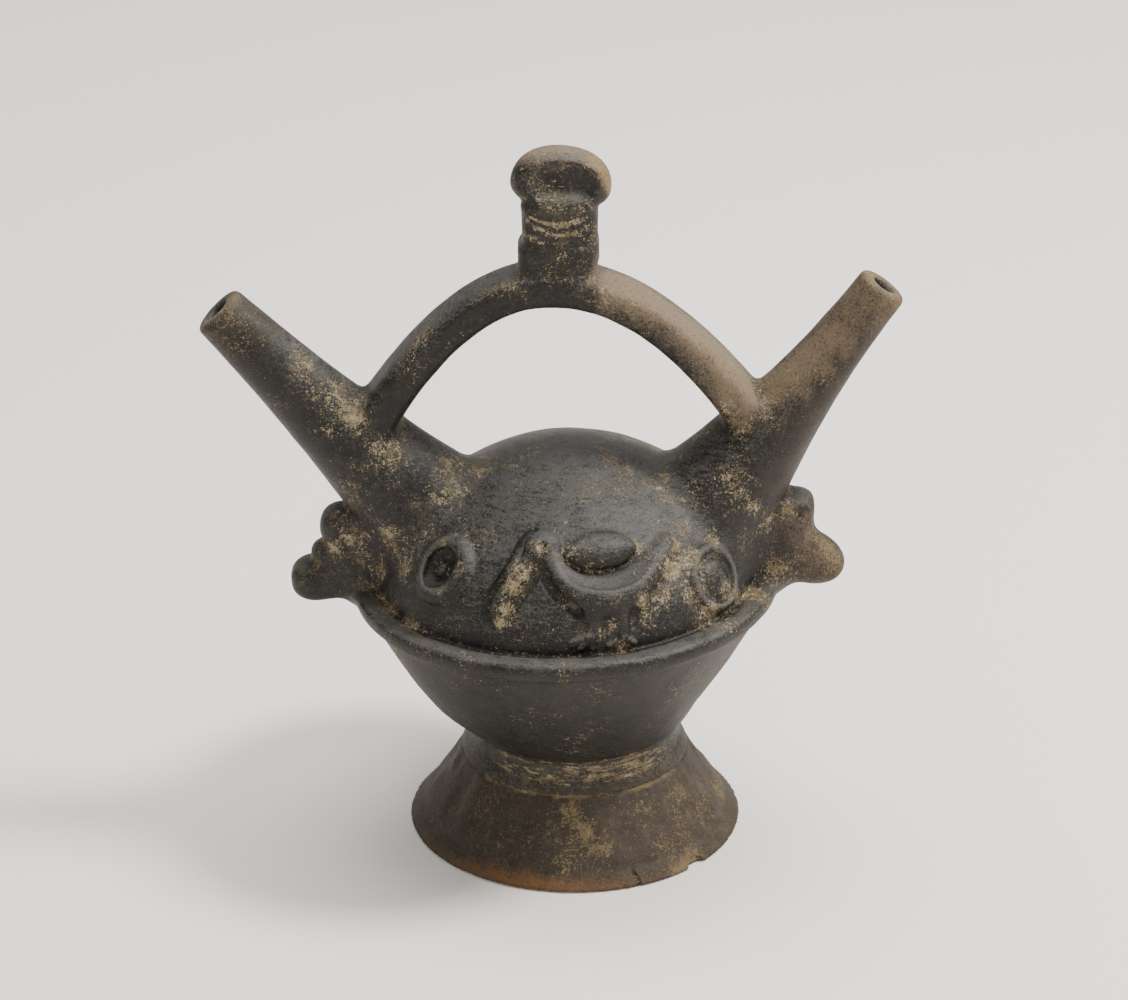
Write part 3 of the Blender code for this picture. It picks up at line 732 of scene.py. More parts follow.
def foot_damage():
    forms = [ball(at_foot(azimuth, FOOT_RADIUS + out, height), radii, 0.3, "cut")
             for azimuth, out, height, radii in CHIP]
    line = [at_foot(azimuth, foot_radius(height), height) for azimuth, height, _ in CRACK]
    forms.append(roll(line, [radius for _, _, radius in CRACK], 0.2, "cut"))
    return forms


# The whole field

def turned_cut(outline, low, high, blend):
    """A hollow turned about the vessel's own axis."""
    section = turned(outline)
    wide = DOME_RADIUS + 8.0
    return Form(np.array([-wide, -wide, low]), np.array([wide, wide, high]),
                lambda x, y, z: section(np.sqrt(x ** 2 + y ** 2), z), blend, "cut")


def shape_forms():
    """Every lump and hollow, in the order in which it is joined or cut."""
    forms = [spout(-1), spout(1), strap()]
    forms += head(-1) + head(1)
    forms += figure()
    for mirror in (0.0, 180.0):
        forms += ears(mirror) + bird(mirror)
    forms += figure_face()
    forms.append(turned_cut(chamber_outline(), WAIST_HEIGHT, DOME_TOP, CHAMBER_ROUND))
    forms.append(turned_cut(foot_hollow_outline(), -8.0, WAIST_HEIGHT, HOLLOW_ROUND))
    return forms + BORES


def detail_forms():
    """Fine cuts, which the mesh takes once its edges are split there."""
    return grooves() + eye() + foot_damage() + [strap_groove()] + SCORED


# How far the potter's hand moved the skin, in millimetres
BROAD_WOBBLE = 0.18
FINE_WOBBLE = 0.12
FOOT_SWELL = 0.65

BORES = [bore(-1), bore(1)]
SCORED = head_scores(-1) + head_scores(1) + figure_scores()
BOWL = turned(bowl_outline())
FOOT = turned(foot_outline())
FORMS = shape_forms()
DETAILS = detail_forms()


def start_field(x, y, z):
    radius = np.sqrt(x ** 2 + y ** 2)
    return smooth_union(BOWL(radius, z), FOOT(radius, z), BODY_BLEND)


def worked(total, form, x, y, z):
    """The field after one more lump or cut."""
    value = form.distance(x, y, z)
    if form.kind == "cut":
        return smooth_cut(total, value, form.blend)
    return smooth_union(total, value, form.blend)


def hand_marks(x, y, z):
    """How far the skin is moved in or out at each point."""
    wobble = BROAD_WOBBLE * noise(x, y, z, 17.0, 1) + FINE_WOBBLE * noise(x, y, z, 5.0, 2)
    foot = np.clip((COLLAR_LOW - z) / 3.0, 0.0, 1.0) * np.clip((z - RIM_GROOVE) / 3.0, 0.0, 1.0)
    turn = np.arctan2(x, -y) * FOOT_RADIUS
    swell = noise(turn, 0.3 * z, z * 0.0, 6.5, 3) + 0.6 * noise(turn, 0.8 * z, z * 0.0, 3.6, 4)
    return wobble + FOOT_SWELL * foot * swell


def field_on_grid(axes):
    """Field values on the whole grid, each form read only near itself."""
    x, y, z = np.ix_(*axes)
    total = start_field(x, y, z).astype(np.float32)
    for form in FORMS:
        window = tuple(slice(*np.searchsorted(axis, (low, high)))
                       for axis, low, high in zip(axes, form.low - REACH, form.high + REACH))
        x, y, z = np.ix_(*(axis[part] for axis, part in zip(axes, window)))
        total[window] = worked(total[window], form, x, y, z)
    return total


def field_at(points, details=True):
    """Field values at a list of points."""
    x, y, z = points.T
    total = start_field(x, y, z)
    for form in FORMS + (DETAILS if details else []):
        near = np.all((points > form.low - REACH) & (points < form.high + REACH), axis=1)
        if near.any():
            total[near] = worked(total[near], form, x[near], y[near], z[near])
    outside = np.clip(z / 1.5, 0.0, 1.0)
    return total - outside * hand_marks(x, y, z)


def slope_at(points):
    """Direction out of the clay at each point."""
    slope = np.empty_like(points)
    for axis in range(3):
        step = np.zeros(3)
        step[axis] = SLOPE_STEP
        slope[:, axis] = field_at(points + step) - field_at(points - step)
    return slope / (2 * SLOPE_STEP)


def onto_skin(points, rounds):
    """Move points along the slope until they lie on the skin."""
    for _ in range(rounds):
        slope = slope_at(points)
        steep = np.maximum((slope ** 2).sum(1), 0.25)
        move = np.clip(field_at(points) / steep, -0.5, 0.5)
        points = points - slope * move[:, None]
    return points


def surface_net(values, axes):
    """Mesh the zero level of a grid of values: one point in each cell that it crosses."""
    inside = values < 0
    corners = [(i, j, k) for i in (0, 1) for j in (0, 1) for k in (0, 1)]
    shape = np.array(values.shape) - 1
    count = np.zeros(shape, np.int8)
    for i, j, k in corners:
        count += inside[i:i + shape[0], j:j + shape[1], k:k + shape[2]]
    cells = np.argwhere((count > 0) & (count < 8))
    number = np.full(shape, -1, np.int32)
    number[tuple(cells.T)] = np.arange(len(cells))
    total = np.zeros((len(cells), 3))
    crossings = np.zeros(len(cells))
    for corner in corners:
        for axis in range(3):
            if corner[axis]:
                continue
            end = list(corner)
            end[axis] = 1
            low = values[tuple((cells + corner).T)]
            high = values[tuple((cells + end).T)]
            cross = (low < 0) != (high < 0)
            share = np.where(cross, low / np.where(cross, low - high, 1.0), 0.0)
            place = np.tile(np.array(corner, float), (len(cells), 1))
            place[:, axis] += share
            total += place * cross[:, None]
            crossings += cross
    origin = np.array([axis[0] for axis in axes])
    points = origin + (cells + total / crossings[:, None]) * GRID_STEP
    faces = []
    for axis in range(3):
        first, second = (axis + 1) % 3, (axis + 2) % 3
        here = [slice(1, -1)] * 3
        here[axis] = slice(0, -1)
        there = list(here)
        there[axis] = slice(1, None)
        start, end = inside[tuple(here)], inside[tuple(there)]
        edges = np.argwhere(start != end)
        leaving = start[tuple(edges.T)]
        base = edges + [0 if a == axis else 1 for a in range(3)]
        ring = []
        for back_first, back_second in ((1, 1), (0, 1), (0, 0), (1, 0)):
            cell = base.copy()
            cell[:, first] -= back_first
            cell[:, second] -= back_second
            ring.append(number[tuple(cell.T)])
        quads = np.stack(ring, axis=1)
        quads[~leaving] = quads[~leaving][:, ::-1]
        faces.append(quads)
    return points, np.vstack(faces)


def raw_mesh(name, points, faces):
    """A Blender mesh from arrays of points and of faces with the same corner count."""
    mesh = bpy.data.meshes.new(name)
    mesh.vertices.add(len(points))
    mesh.vertices.foreach_set("co", points.astype(np.float32).ravel())
    mesh.loops.add(faces.size)
    mesh.loops.foreach_set("vertex_index", faces.astype(np.int32).ravel())
    mesh.polygons.add(len(faces))
    mesh.polygons.foreach_set("loop_start", np.arange(0, faces.size, faces.shape[1], dtype=np.int32))
    mesh.update(calc_edges=True)
    mesh.validate()
    return mesh


def mesh_points(mesh):
    points = np.empty(len(mesh.vertices) * 3, np.float32)
    mesh.vertices.foreach_get("co", points)
    return points.reshape(-1, 3).astype(float)


# Boxes whose long edges are split, twice at most: (low corner, high corner, longest edge)
FINE_BOXES = [
    ((-28, -56, 76), (36, -24, 106), 0.62),
    ((-15.5, -12, 172), (12.5, -3.5, 202), 0.62),
    ((14, -48, -1), (37, -28, 6), 0.7),
    ((-60, -60, 21), (60, -12, 23.6), 0.8),
    ((-50, -46, 78), (-28, -18, 102), 0.8),
    ((30, -46, 78), (50, -18, 99), 0.8),
    ((-80, -12, 68), (-58, -1, 100), 0.8),
    ((58, -12, 68), (80, -1, 100), 0.8),
]


def thin_out(item):
    """Let go of triangles that the form doesn't need."""
    triangles = 2 * len(item.data.polygons)
    step = item.modifiers.new("thin", "DECIMATE")
    step.ratio = min(1.0, TRIANGLES_KEPT / triangles)
    bpy.context.view_layer.update()
    graph = bpy.context.evaluated_depsgraph_get()
    mesh = bpy.data.meshes.new_from_object(item.evaluated_get(graph))
    item.modifiers.clear()
    item.data = mesh


def refine(mesh):
    """Split long edges where the scoring is fine, so that the mesh can follow it."""
    form = bmesh.new()
    form.from_mesh(mesh)
    bmesh.ops.triangulate(form, faces=form.faces)
    for _ in range(2):
        split = []
        for edge in form.edges:
            length = edge.calc_length()
            middle = (edge.verts[0].co + edge.verts[1].co) / 2
            for low, high, longest in FINE_BOXES:
                if length > longest and all(low[i] < middle[i] < high[i] for i in range(3)):
                    split.append(edge)
                    break
        bmesh.ops.subdivide_edges(form, edges=split, cuts=1)
        bmesh.ops.triangulate(form, faces=[face for face in form.faces if len(face.verts) > 3])
    form.to_mesh(mesh)
    form.free()


def settled(points):
    """Where the potter's lean takes each point, in millimetres."""
    share = np.clip((points[:, 2] - WAIST_HEIGHT) / (LEAN_BLEND * BOWL_DEPTH), 0.0, 1.0)
    moved = points.copy()
    moved[:, 0] += share * LEAN_OFFSET
    moved[:, 2] += share * LEAN * moved[:, 0]
    return moved


# Earth: how far its patches spread, its share on the back and its strength in scored lines
EARTH_SPREAD = 1.5
EARTH_ON_BACK = 0.7
EARTH_IN_SCORES = 0.9

# Over how many millimetres the earth fades out beside a scored line, and the clay into a bore
SCORE_FADE = 0.2
BORE_FADE = 0.5

# Patches of earth on the front: (x, y, z, radius) in millimetres, and strength in tenths
EARTH = [
    (-92, -8, 154, 5.5, 4), (-71, -6, 143, 3.6, 8), (-67, -8, 137, 2.4, 6), (-61, -5, 135, 4, 8),
    (-58, -8, 129, 3.6, 10), (-55, -5, 130, 3.1, 8), (-46, -4, 123, 2.4, 6), (-51, -11, 120, 2.8, 8),
    (-47, -11, 118, 3.1, 9), (-59, -12, 116, 2.4, 6), (-53, -13, 115, 2.4, 6), (-64, -11, 125, 2, 7),
    (-59, -12, 109, 2.8, 6), (-32, -6, 111, 3.6, 10), (-31, -11, 108, 2.8, 8), (-36, -6, 151, 2.4, 5),
    (-39, -7, 148, 2.4, 6), (-43, -9, 142, 2, 5), (-58, -11, 105, 2.8, 7), (-64, -4, 96, 2.4, 10),
    (-64, -5, 88, 2.4, 10), (-69, -5, 83, 2, 8), (-73, -4, 81, 2, 7), (-59, -8, 91, 2.8, 8),
    (-56, -8, 86, 2.4, 8), (-57, -8, 79, 2.8, 6), (-48, -14, 96, 3.1, 8), (-50, -9, 82, 2.8, 9),
    (-44, -20, 87, 2.4, 10), (-54, -8, 76, 3.6, 9), (-42, -16, 103, 3.1, 5), (-36, -15, 106, 2.4, 7),
    (-33, -27, 99, 1.6, 8), (-30, -35, 94, 2, 10), (-34, -36, 91, 2, 9), (-39, -18, 95, 2, 6),
    (-29, -3, 111, 3.1, 8), (-23, -4, 109, 3.1, 8), (-21, 0, 110, 2.4, 7), (-30, -11, 107, 3.1, 7),
    (-38, -16, 103, 3.1, 5), (-12, -4, 113, 3.1, 4), (12, -6, 113, 3.1, 8), (17, -10, 111, 3.1, 9),
    (23, -13, 108, 3.1, 8), (28, -16, 104, 3.1, 6), (24, -24, 103, 3.1, 6), (31, -23, 99, 2.8, 8),
    (8, -17, 111, 3.1, 4), (36, -14, 107, 3.1, 3), (29, -29, 97, 2, 10), (33, -30, 92, 3.1, 10),
    (39, -21, 93, 2.4, 10), (29, -34, 92, 2.8, 10), (26, -40, 87, 2.8, 8), (22, -45, 84, 2.4, 8),
    (20, -45, 88, 2, 8), (33, -36, 85, 2.8, 9), (44, -27, 83, 2.4, 10), (47, -23, 78, 1.6, 10),
    (39, -36, 80, 2.4, 12), (41, -37, 76, 2.4, 7), (52, -19, 76, 2.8, 11), (36, -37, 78, 2.4, 8),
    (-7, -39, 102, 1.6, 10), (-11, -41, 96, 2, 10), (-14, -43, 93, 2, 10), (-16, -45, 87, 1.6, 10),
    (-18, -47, 84, 1.6, 10), (12, -49, 83, 1.6, 10), (9, -50, 82, 1.6, 10), (5, -51, 82, 1.6, 8),
    (14, -50, 78, 2, 9), (13, -48, 91, 1.5, 8), (0, -47, 89, 1.5, 6), (6, -41, 96, 2, 3),
    (20, -33, 99, 1.6, 7), (-48, -20, 76, 2.8, 10), (-51, -14, 76, 2.4, 10), (-42, -31, 76, 2.4, 8),
    (34, 0, 115, 2, 8), (39, -1, 118, 2, 10), (29, -1, 110, 2, 6), (44, -10, 128, 2.4, 9),
    (47, -10, 124, 2.8, 10), (45, -4, 137, 2.8, 10), (49, -6, 131, 2, 7), (53, 2, 131, 2.4, 9),
    (57, -6, 132, 2.4, 8), (61, -8, 134, 2.8, 8), (55, -7, 129, 2.4, 7), (59, -3, 137, 3.1, 8),
    (64, -4, 142, 3.1, 5), (69, -8, 138, 2, 7), (85, -3, 159, 2, 10), (85, -7, 154, 2.4, 8),
    (80, -7, 154, 2.8, 6), (44, -13, 113, 4, 4), (45, -15, 109, 4, 6), (27, -7, 107, 3.1, 9),
    (60, -6, 96, 2, 11), (51, -15, 101, 2, 8), (55, -11, 95, 2.4, 8), (66, -5, 86, 1.6, 9),
    (68, -2, 87, 1.6, 9), (71, -4, 82, 2.4, 10), (59, -8, 80, 2.4, 8), (48, -16, 91, 2, 7),
    (-35, -5, 16, 1.5, 8), (-1, -34, 18, 2, 10), (1, -36, 16, 1.6, 10), (3, -37, 14, 2, 10),
    (8, -38, 10, 2, 10), (-8, -37, 13, 3.1, 6), (11, -33, 17, 3.1, 6), (-13, -29, 23, 3.1, 4),
    (19, -29, 17, 3.1, 6), (28, -20, 17, 4, 7), (35, -11, 14, 3.1, 7), (41, -2, 7, 2.8, 7),
    (23, -33, 9, 4, 4), (29, -25, 12, 4, 5), (42, -17, 3, 1.6, 7), (-31, -23, 11, 2.4, 2),
    (-28, -30, 8, 3.1, 3), (-14, -36, 11, 3.1, 4), (-4, -7, 187, 2.4, 10), (-6, -7, 191, 2, 7),
    (0, -7, 186, 2.4, 8), (5, -7, 186, 2, 8), (-10, -5, 195, 2, 6), (-13, -4, 193, 1.6, 6),
    (-11, -5, 189, 1.6, 7), (0, -5, 199, 2, 7), (-1, -6, 176, 2.8, 5), (5, -6, 175, 2.4, 5),
    (-4, -6, 180, 2, 4), (2, -6, 180, 2.4, 4), (8, -5, 179, 1.6, 6), (-4, -6, 168, 2.8, 3),
    (3, -6, 168, 2.8, 3), (-14, -7, 165, 2.4, 10), (-17, -7, 164, 2, 6), (8, -7, 164, 2.4, 7),
    (11, -8, 161, 2.4, 9), (17, -8, 159, 2, 6), (34, -33, 2, 2.8, 14), (-93, -5, 158, 3, 8),
    (86, -5, 157, 3, 7), (35, -30, 84, 5, 5), (46, -14, 104, 7, 3), (-50, -12, 112, 9, 3),
    (-38, -18, 97, 8, 4), (20, -14, 109, 9, 3), (-8, -7, 182, 6, 3), (20, -6, 160, 6, 2),
    (50, -7, 130, 8, 4), (44, -30, 62, 6, 5), (38, -34, 56, 5, 4), (34, -36, 54, 2, 9),
    (0, -44, 94, 6, 2), (30, -30, 20, 5, 4), (-20, -36, 14, 7, 3), (-94, -3, 158, 5, 8),
    (-92, -2, 162, 3, 8), (87, -3, 158, 5, 8), (84, 0, 162, 3.5, 8), (-2, -9, 187, 5, 8),
    (5, -9, 186, 3, 7), (-66, -10, 86, 6, 5), (-74, -8, 80, 4, 5), (70, -8, 82, 5, 5),
    (-8, -8, 196, 5, 5), (-5, -4, 201, 5, 6), (7, -4, 200, 4, 6), (33, -35, 3, 3, 8), (0, -48, 60, 4, 4),
    (-48, -26, 65, 4, 7), (49, -26, 66, 4, 8), (0, -45, 10, 9, 3), (24, -38, 12, 8, 4),
    (-24, -40, 10, 8, 4), (-41, -18, 8, 6, 5), (40, -20, 12, 5, 5),
]

# Clay of other colours, with the taupe on the strap's right half partly painted light: from one place to
# another, radius, strength

BROWN = [
    ((58, 0, 108), (84, 0, 156), 13, 0.8),
    ((60, 0, 88), (74, 0, 77), 12, 0.9),
    ((-70, 0, 78), (-62, 0, 76), 7, 0.7),
    ((44, -20, 55), (48, -20, 66), 12, 0.5),
    ((11, 0, 190), (12, 0, 184), 5, 0.8),
    ((-95, 0, 160), (-84, 0, 150), 9, 0.8),
    ((-30, 30, 60), (20, 44, 55), 20, 0.6),
]
TAUPE = [
    # Partly painted light: the strap's right half is laid lighter taupe where the light falls on it, over
    # its own lighter clay.
    ((16, -4, 164), (32, -4, 157), 9.5, 1.3),
    ((32, -4, 157), (49, -4, 133), 10, 1.2),
    ((54, -5, 130), (72, -5, 146), 8, 0.75),
    ((76, 0, 150), (84, 0, 158), 9, 0.8),
    ((-10, 0, 200), (9, 0, 199), 5.5, 0.8),
    ((44, -10, 10), (33, -30, 4), 16, 0.25),
    ((63, -4, 92), (72, -4, 80), 9, 0.4),
]
PALE = [
    ((84, 0, 161), (88, 0, 155), 6, 0.9),
    ((-95, -2, 154), (-91, -2, 162), 4.5, 0.9),
    ((9, -3, 198.5), (13, -3, 191), 4, 1.1),
    ((30, -37, 1), (35, -33, 4), 4, 1),
]


def turn_of(points):
    """Degrees around the pot from the front."""
    return np.degrees(np.arctan2(points[:, 0], -points[:, 1]))


def foot_brown(points):
    """How far the black of the firing has gone brown on the foot: more at the right."""
    low = np.clip((27.0 - points[:, 2]) / 5.0, 0.0, 1.0)
    return low * (0.72 + 0.12 * np.sin(np.radians(turn_of(points))))


def rim_rust(points):
    """Orange-brown clay where the foot's rim is worn, most of it at the front left."""
    front = 0.3 + 0.7 * np.exp(-((turn_of(points) + 18.0) / 36.0) ** 2)
    return front * np.exp(-(points[:, 2] / 4.6) ** 2)


def turning_marks(points):
    """Earth in the marks that turning left: on the waist, and under the collar's step."""
    front = 0.3 + 0.7 * np.exp(-((turn_of(points) - 8.0) / 62.0) ** 4)
    band = np.exp(-((points[:, 2] - 28.2) / 3.8) ** 4)
    step = 1.3 * np.exp(-((points[:, 2] - COLLAR_LOW + 0.5) / 0.6) ** 2)
    return front * np.maximum(band, step)


def scored(points):
    """1 in the scored lines, 0 away from them."""
    total = np.zeros(len(points))
    for form in SCORED:
        near = np.all((points > form.low - 1.0) & (points < form.high + 1.0), axis=1)
        depth = form.distance(*points[near].T)
        total[near] = np.maximum(total[near], np.clip(1.0 - depth / SCORE_FADE, 0.0, 1.0))
    return total


def outside(points):
    """1 in the open and 0 in the bores, which stay dark: painted shade, as no earth or lighter clay is
    laid in them.
    """
    depth = np.minimum(*[form.distance(*points.T) for form in BORES])
    return np.clip(depth / BORE_FADE, 0.0, 1.0)


def patches(points, places):
    """Soft patches: the strongest of them at each point."""
    total = np.zeros(len(points))
    for start, end, radius, strength in places:
        run = np.subtract(end, start)
        along = np.clip((points - start) @ run / max(run @ run, 1e-9), 0.0, 1.0)
        gap = ((points - start - along[:, None] * run) ** 2).sum(1) / radius ** 2
        total = np.maximum(total, strength * np.exp(-gap))
    return total


def earth_patches(points):
    """The earth of the front, and less of the same on the back."""
    folded = points * [1, 0, 1] - np.abs(points) * [0, 1, 0]
    places = [((x, y, z), (x, y, z), EARTH_SPREAD * radius, tenths / 10)
              for x, y, z, radius, tenths in EARTH]
    return patches(folded, places) * np.where(points[:, 1] > 0, EARTH_ON_BACK, 1.0)


# How far from the skin creases, finer folds and edges are felt for, in millimetres
CREASE_REACH = 2.5
FOLD_REACH = 0.8
EDGE_REACH = 1.2


def crease(points, normals, reach):
    """How deep each point lies in a fold: 0 in the open, 1 deep inside."""
    return np.clip(1.0 - field_at(points + normals * reach) / reach, 0.0, 1.0)


def edge(points, normals, reach):
    """How far each point stands out on an edge: 0 on a plain face, 1 on a sharp edge."""
    return np.clip(1.0 + field_at(points - normals * reach, details=False) / reach, 0.0, 1.0)


def add_object(name, data):
    item = bpy.data.objects.new(name, data)
    bpy.context.scene.collection.objects.link(item)
    return item


def shading_values(points):
    """What the material reads at each point of the skin."""
    slope = slope_at(points)
    normals = slope / np.maximum(np.linalg.norm(slope, axis=1), 1e-6)[:, None]
    # Painted shade in the bores: earth and lighter clay are left out there.
    shown_clay = outside(points)
    return {
        "crease": crease(points, normals, CREASE_REACH),
        "fold": crease(points, normals, FOLD_REACH),
        "edge": edge(points, normals, EDGE_REACH),
        "marks": turning_marks(points),
        "rust": rim_rust(points),
        "earth": np.maximum(earth_patches(points), EARTH_IN_SCORES * scored(points)) * shown_clay,
        "brown": np.maximum(patches(points, BROWN), foot_brown(points)) * shown_clay,
        "taupe": patches(points, TAUPE) * shown_clay,
        "pale": patches(points, PALE) * shown_clay,
    }


def make_vessel():
    axes = [np.arange(a, b, GRID_STEP) for a, b in zip(GRID_LOW, GRID_HIGH)]
    points, faces = surface_net(field_on_grid(axes), axes)
    item = add_object("vessel_skin", raw_mesh("vessel_skin", points, faces))
    thin_out(item)
    refine(item.data)
    points = onto_skin(mesh_points(item.data), rounds=3)
    points[:, 2] = np.maximum(points[:, 2], 0.0)
    for name, values in shading_values(points).items():
        attribute = item.data.attributes.new(name, "FLOAT", "POINT")
        attribute.data.foreach_set("value", values.astype(np.float32))
    placed = settled(points)
    middle = (placed.min(0) + placed.max(0)) / 2
    placed[:, :2] -= middle[:2]
    item.data.vertices.foreach_set("co", (placed * MM).astype(np.float32).ravel())
    item.data.shade_smooth()
    item.data.update()
    return item


# Materials

def shown(red, green, blue):
    """A colour given as it is seen, 0 to 255, as the linear values that shaders take."""
    return tuple(channel ** 2.2 / 255 ** 2.2 for channel in (red, green, blue)) + (1.0,)


def add_node(tree, kind, inputs=None, **settings):
    """Add a node, set its own settings, and set or link its inputs."""
    item = tree.nodes.new(kind)
    for name, value in settings.items():
        setattr(item, name, value)
    for key, value in (inputs or {}).items():
        if isinstance(value, bpy.types.NodeSocket):
            tree.links.new(value, item.inputs[key])
        else:
            item.inputs[key].default_value = value
    return item


class Brush:
    """Short words for the nodes of one material."""

    def __init__(self, tree):
        self.tree = tree
        coordinates = add_node(tree, "ShaderNodeTexCoord").outputs["Object"]
        self.place = self.stretch(coordinates, (1 / MM, 1 / MM, 1 / MM))

    def stretch(self, vector, factors):
        node = add_node(self.tree, "ShaderNodeVectorMath", {0: vector, 1: factors}, operation="MULTIPLY")
        return node.outputs["Vector"]

    def noise(self, size, detail, roughness=0.55, factors=None):
        """Noise between 0 and 1 with blobs of a size in millimetres."""
        vector = self.place if factors is None else self.stretch(self.place, factors)
        inputs = {"Vector": vector, "Scale": 1 / size, "Detail": detail, "Roughness": roughness}
        return add_node(self.tree, "ShaderNodeTexNoise", inputs).outputs["Fac"]

    def value(self, name):
        return add_node(self.tree, "ShaderNodeAttribute", attribute_name=name).outputs["Fac"]

    def sum(self, *terms):
        """Add up (value, weight) pairs."""
        total = 0.0
        for value, weight in terms:
            node = add_node(self.tree, "ShaderNodeMath", {0: value, 1: weight, 2: total},
                            operation="MULTIPLY_ADD")
            total = node.outputs[0]
        return total

    def ramp(self, value, low, high, start=0.0, end=1.0):
        """A soft step from start to end while the value goes from low to high."""
        inputs = {"Value": value, "From Min": low, "From Max": high, "To Min": start, "To Max": end}
        return add_node(self.tree, "ShaderNodeMapRange", inputs,
                        interpolation_type="SMOOTHSTEP").outputs["Result"]

    def mix(self, share, first, second):
        inputs = {0: share, 6: first, 7: second}
        return add_node(self.tree, "ShaderNodeMix", inputs, data_type="RGBA").outputs[2]

    def lay(self, colour, over, value, low, high, start=0.0, end=1.0):
        """Lay a colour over another by a soft step in a value."""
        return self.mix(self.ramp(value, low, high, start, end), colour, over)


BLACK = shown(21, 20, 18)
CHARCOAL = shown(39, 37, 33)
# Lighter clay colour for the burnish streaks, and also a painted sheen laid on faces that look up and on
# edges.
BURNISH_AND_PAINTED_SHEEN = shown(73, 72, 69)
BROWN_CLAY = shown(58, 49, 39)
# Taupe clay, also used as painted light on the strap's lit right half.
TAUPE_CLAY_AND_PAINTED_LIGHT = shown(119, 104, 85)
TAN_CLAY = shown(124, 103, 72)
RUST_CLAY = shown(108, 76, 44)
WORN_CLAY = shown(78, 68, 54)
DUST = shown(98, 90, 74)
EARTH_PALE = shown(150, 138, 112)
EARTH_OCHRE = shown(110, 96, 71)


def clay_colour(brush, grain):
    """Smoke-blackened clay, grainy all over, with browner and paler areas, a painted sheen on faces that
    look up and on edges, and painted shade in creases and folds.
    """
    broad = brush.noise(22.0, 4.0)
    medium = brush.noise(5.0, 5.0, 0.65)
    strokes = brush.noise(3.6, 3.0, 0.6, (1.0, 1.0, 8.0))
    drips = brush.noise(3.4, 3.0, 0.6, (1.0, 1.0, 0.3))
    depth = brush.sum((broad, 0.35), (medium, 0.45), (grain, 0.90))
    colour = brush.lay(BLACK, CHARCOAL, depth, 0.72, 0.90)
    # Painted sheen: faces that look up, and edges, are laid lighter as if lit from above. The burnish
    # streaks and grain mixed in with them are the clay's own.
    up = add_node(brush.tree, "ShaderNodeSeparateXYZ",
                  {"Vector": add_node(brush.tree, "ShaderNodeNewGeometry").outputs["Normal"]})
    burnish_and_painted_sheen = brush.sum((up.outputs["Z"], 0.36), (strokes, 0.60), (medium, 0.40), (grain, 0.80),
                     (brush.value("edge"), 0.5))
    colour = brush.lay(colour, BURNISH_AND_PAINTED_SHEEN, burnish_and_painted_sheen, 1.01, 1.27, 0.0, 0.95)
    for name, clay, low in (("brown", BROWN_CLAY, 0.74), ("taupe", TAUPE_CLAY_AND_PAINTED_LIGHT, 0.78),
                            ("pale", TAN_CLAY, 0.84), ("rust", RUST_CLAY, 0.84)):
        amount = brush.sum((brush.value(name), 0.7), (medium, 0.35), (drips, 0.35), (grain, 0.65))
        colour = brush.lay(colour, clay, amount, low, low + 0.52, 0.0, 0.95)
    worn = brush.sum((brush.value("edge"), 1.4), (medium, 0.5), (grain, 0.5))
    colour = brush.lay(colour, WORN_CLAY, worn, 1.2, 1.9, 0.0, 0.5)
    # Painted shade: creases and folds are darkened towards black.
    sunk = brush.sum((brush.value("crease"), 0.7), (brush.value("fold"), 0.6))
    colour = brush.lay(colour, BLACK, sunk, 0.06, 0.52, 0.0, 0.92)
    pits = brush.noise(0.7, 2.0, 0.6)
    return brush.lay(colour, BLACK, pits, 0.34, 0.44, 0.55, 0.0)


def earth_cover(brush, grain):
    """Where tan earth clings: in specks, in folds and in turning marks."""
    speck = brush.noise(0.5, 2.0, 0.6)
    clump = brush.noise(1.5, 3.0, 0.7)
    broad = brush.noise(14.0, 3.0)
    cling = brush.sum((speck, 0.62), (clump, 0.42), (broad, 0.36), (brush.value("earth"), 0.175),
                      (brush.value("crease"), 0.03), (brush.value("fold"), 0.09))
    lines = brush.noise(0.9, 3.0, 0.65, (0.17, 0.17, 1.0))
    drawn = brush.sum((lines, 0.70), (grain, 0.30), (broad, 0.30), (brush.value("marks"), 0.15))
    specks = brush.ramp(cling, 0.82, 0.885)
    streaks = brush.ramp(drawn, 0.77, 0.87, 0.0, 0.85)
    return add_node(brush.tree, "ShaderNodeMath", {0: specks, 1: streaks}, operation="MAXIMUM").outputs[0]


def dust_cover(brush, grain):
    """A thin haze of the same earth around its patches."""
    haze = brush.sum((brush.noise(3.0, 4.0, 0.65), 0.55), (grain, 0.35), (brush.value("earth"), 0.22),
                     (brush.value("marks"), 0.16), (brush.value("crease"), 0.08))
    return brush.ramp(haze, 0.47, 0.84, 0.0, 0.60)


def new_material(name):
    material = bpy.data.materials.new(name)
    material.use_nodes = True
    return material, material.node_tree, material.node_tree.nodes["Principled BSDF"]


SPECULAR = 0.33
BUMP_STRENGTH = 0.7
BUMP_DEPTH = 0.0004


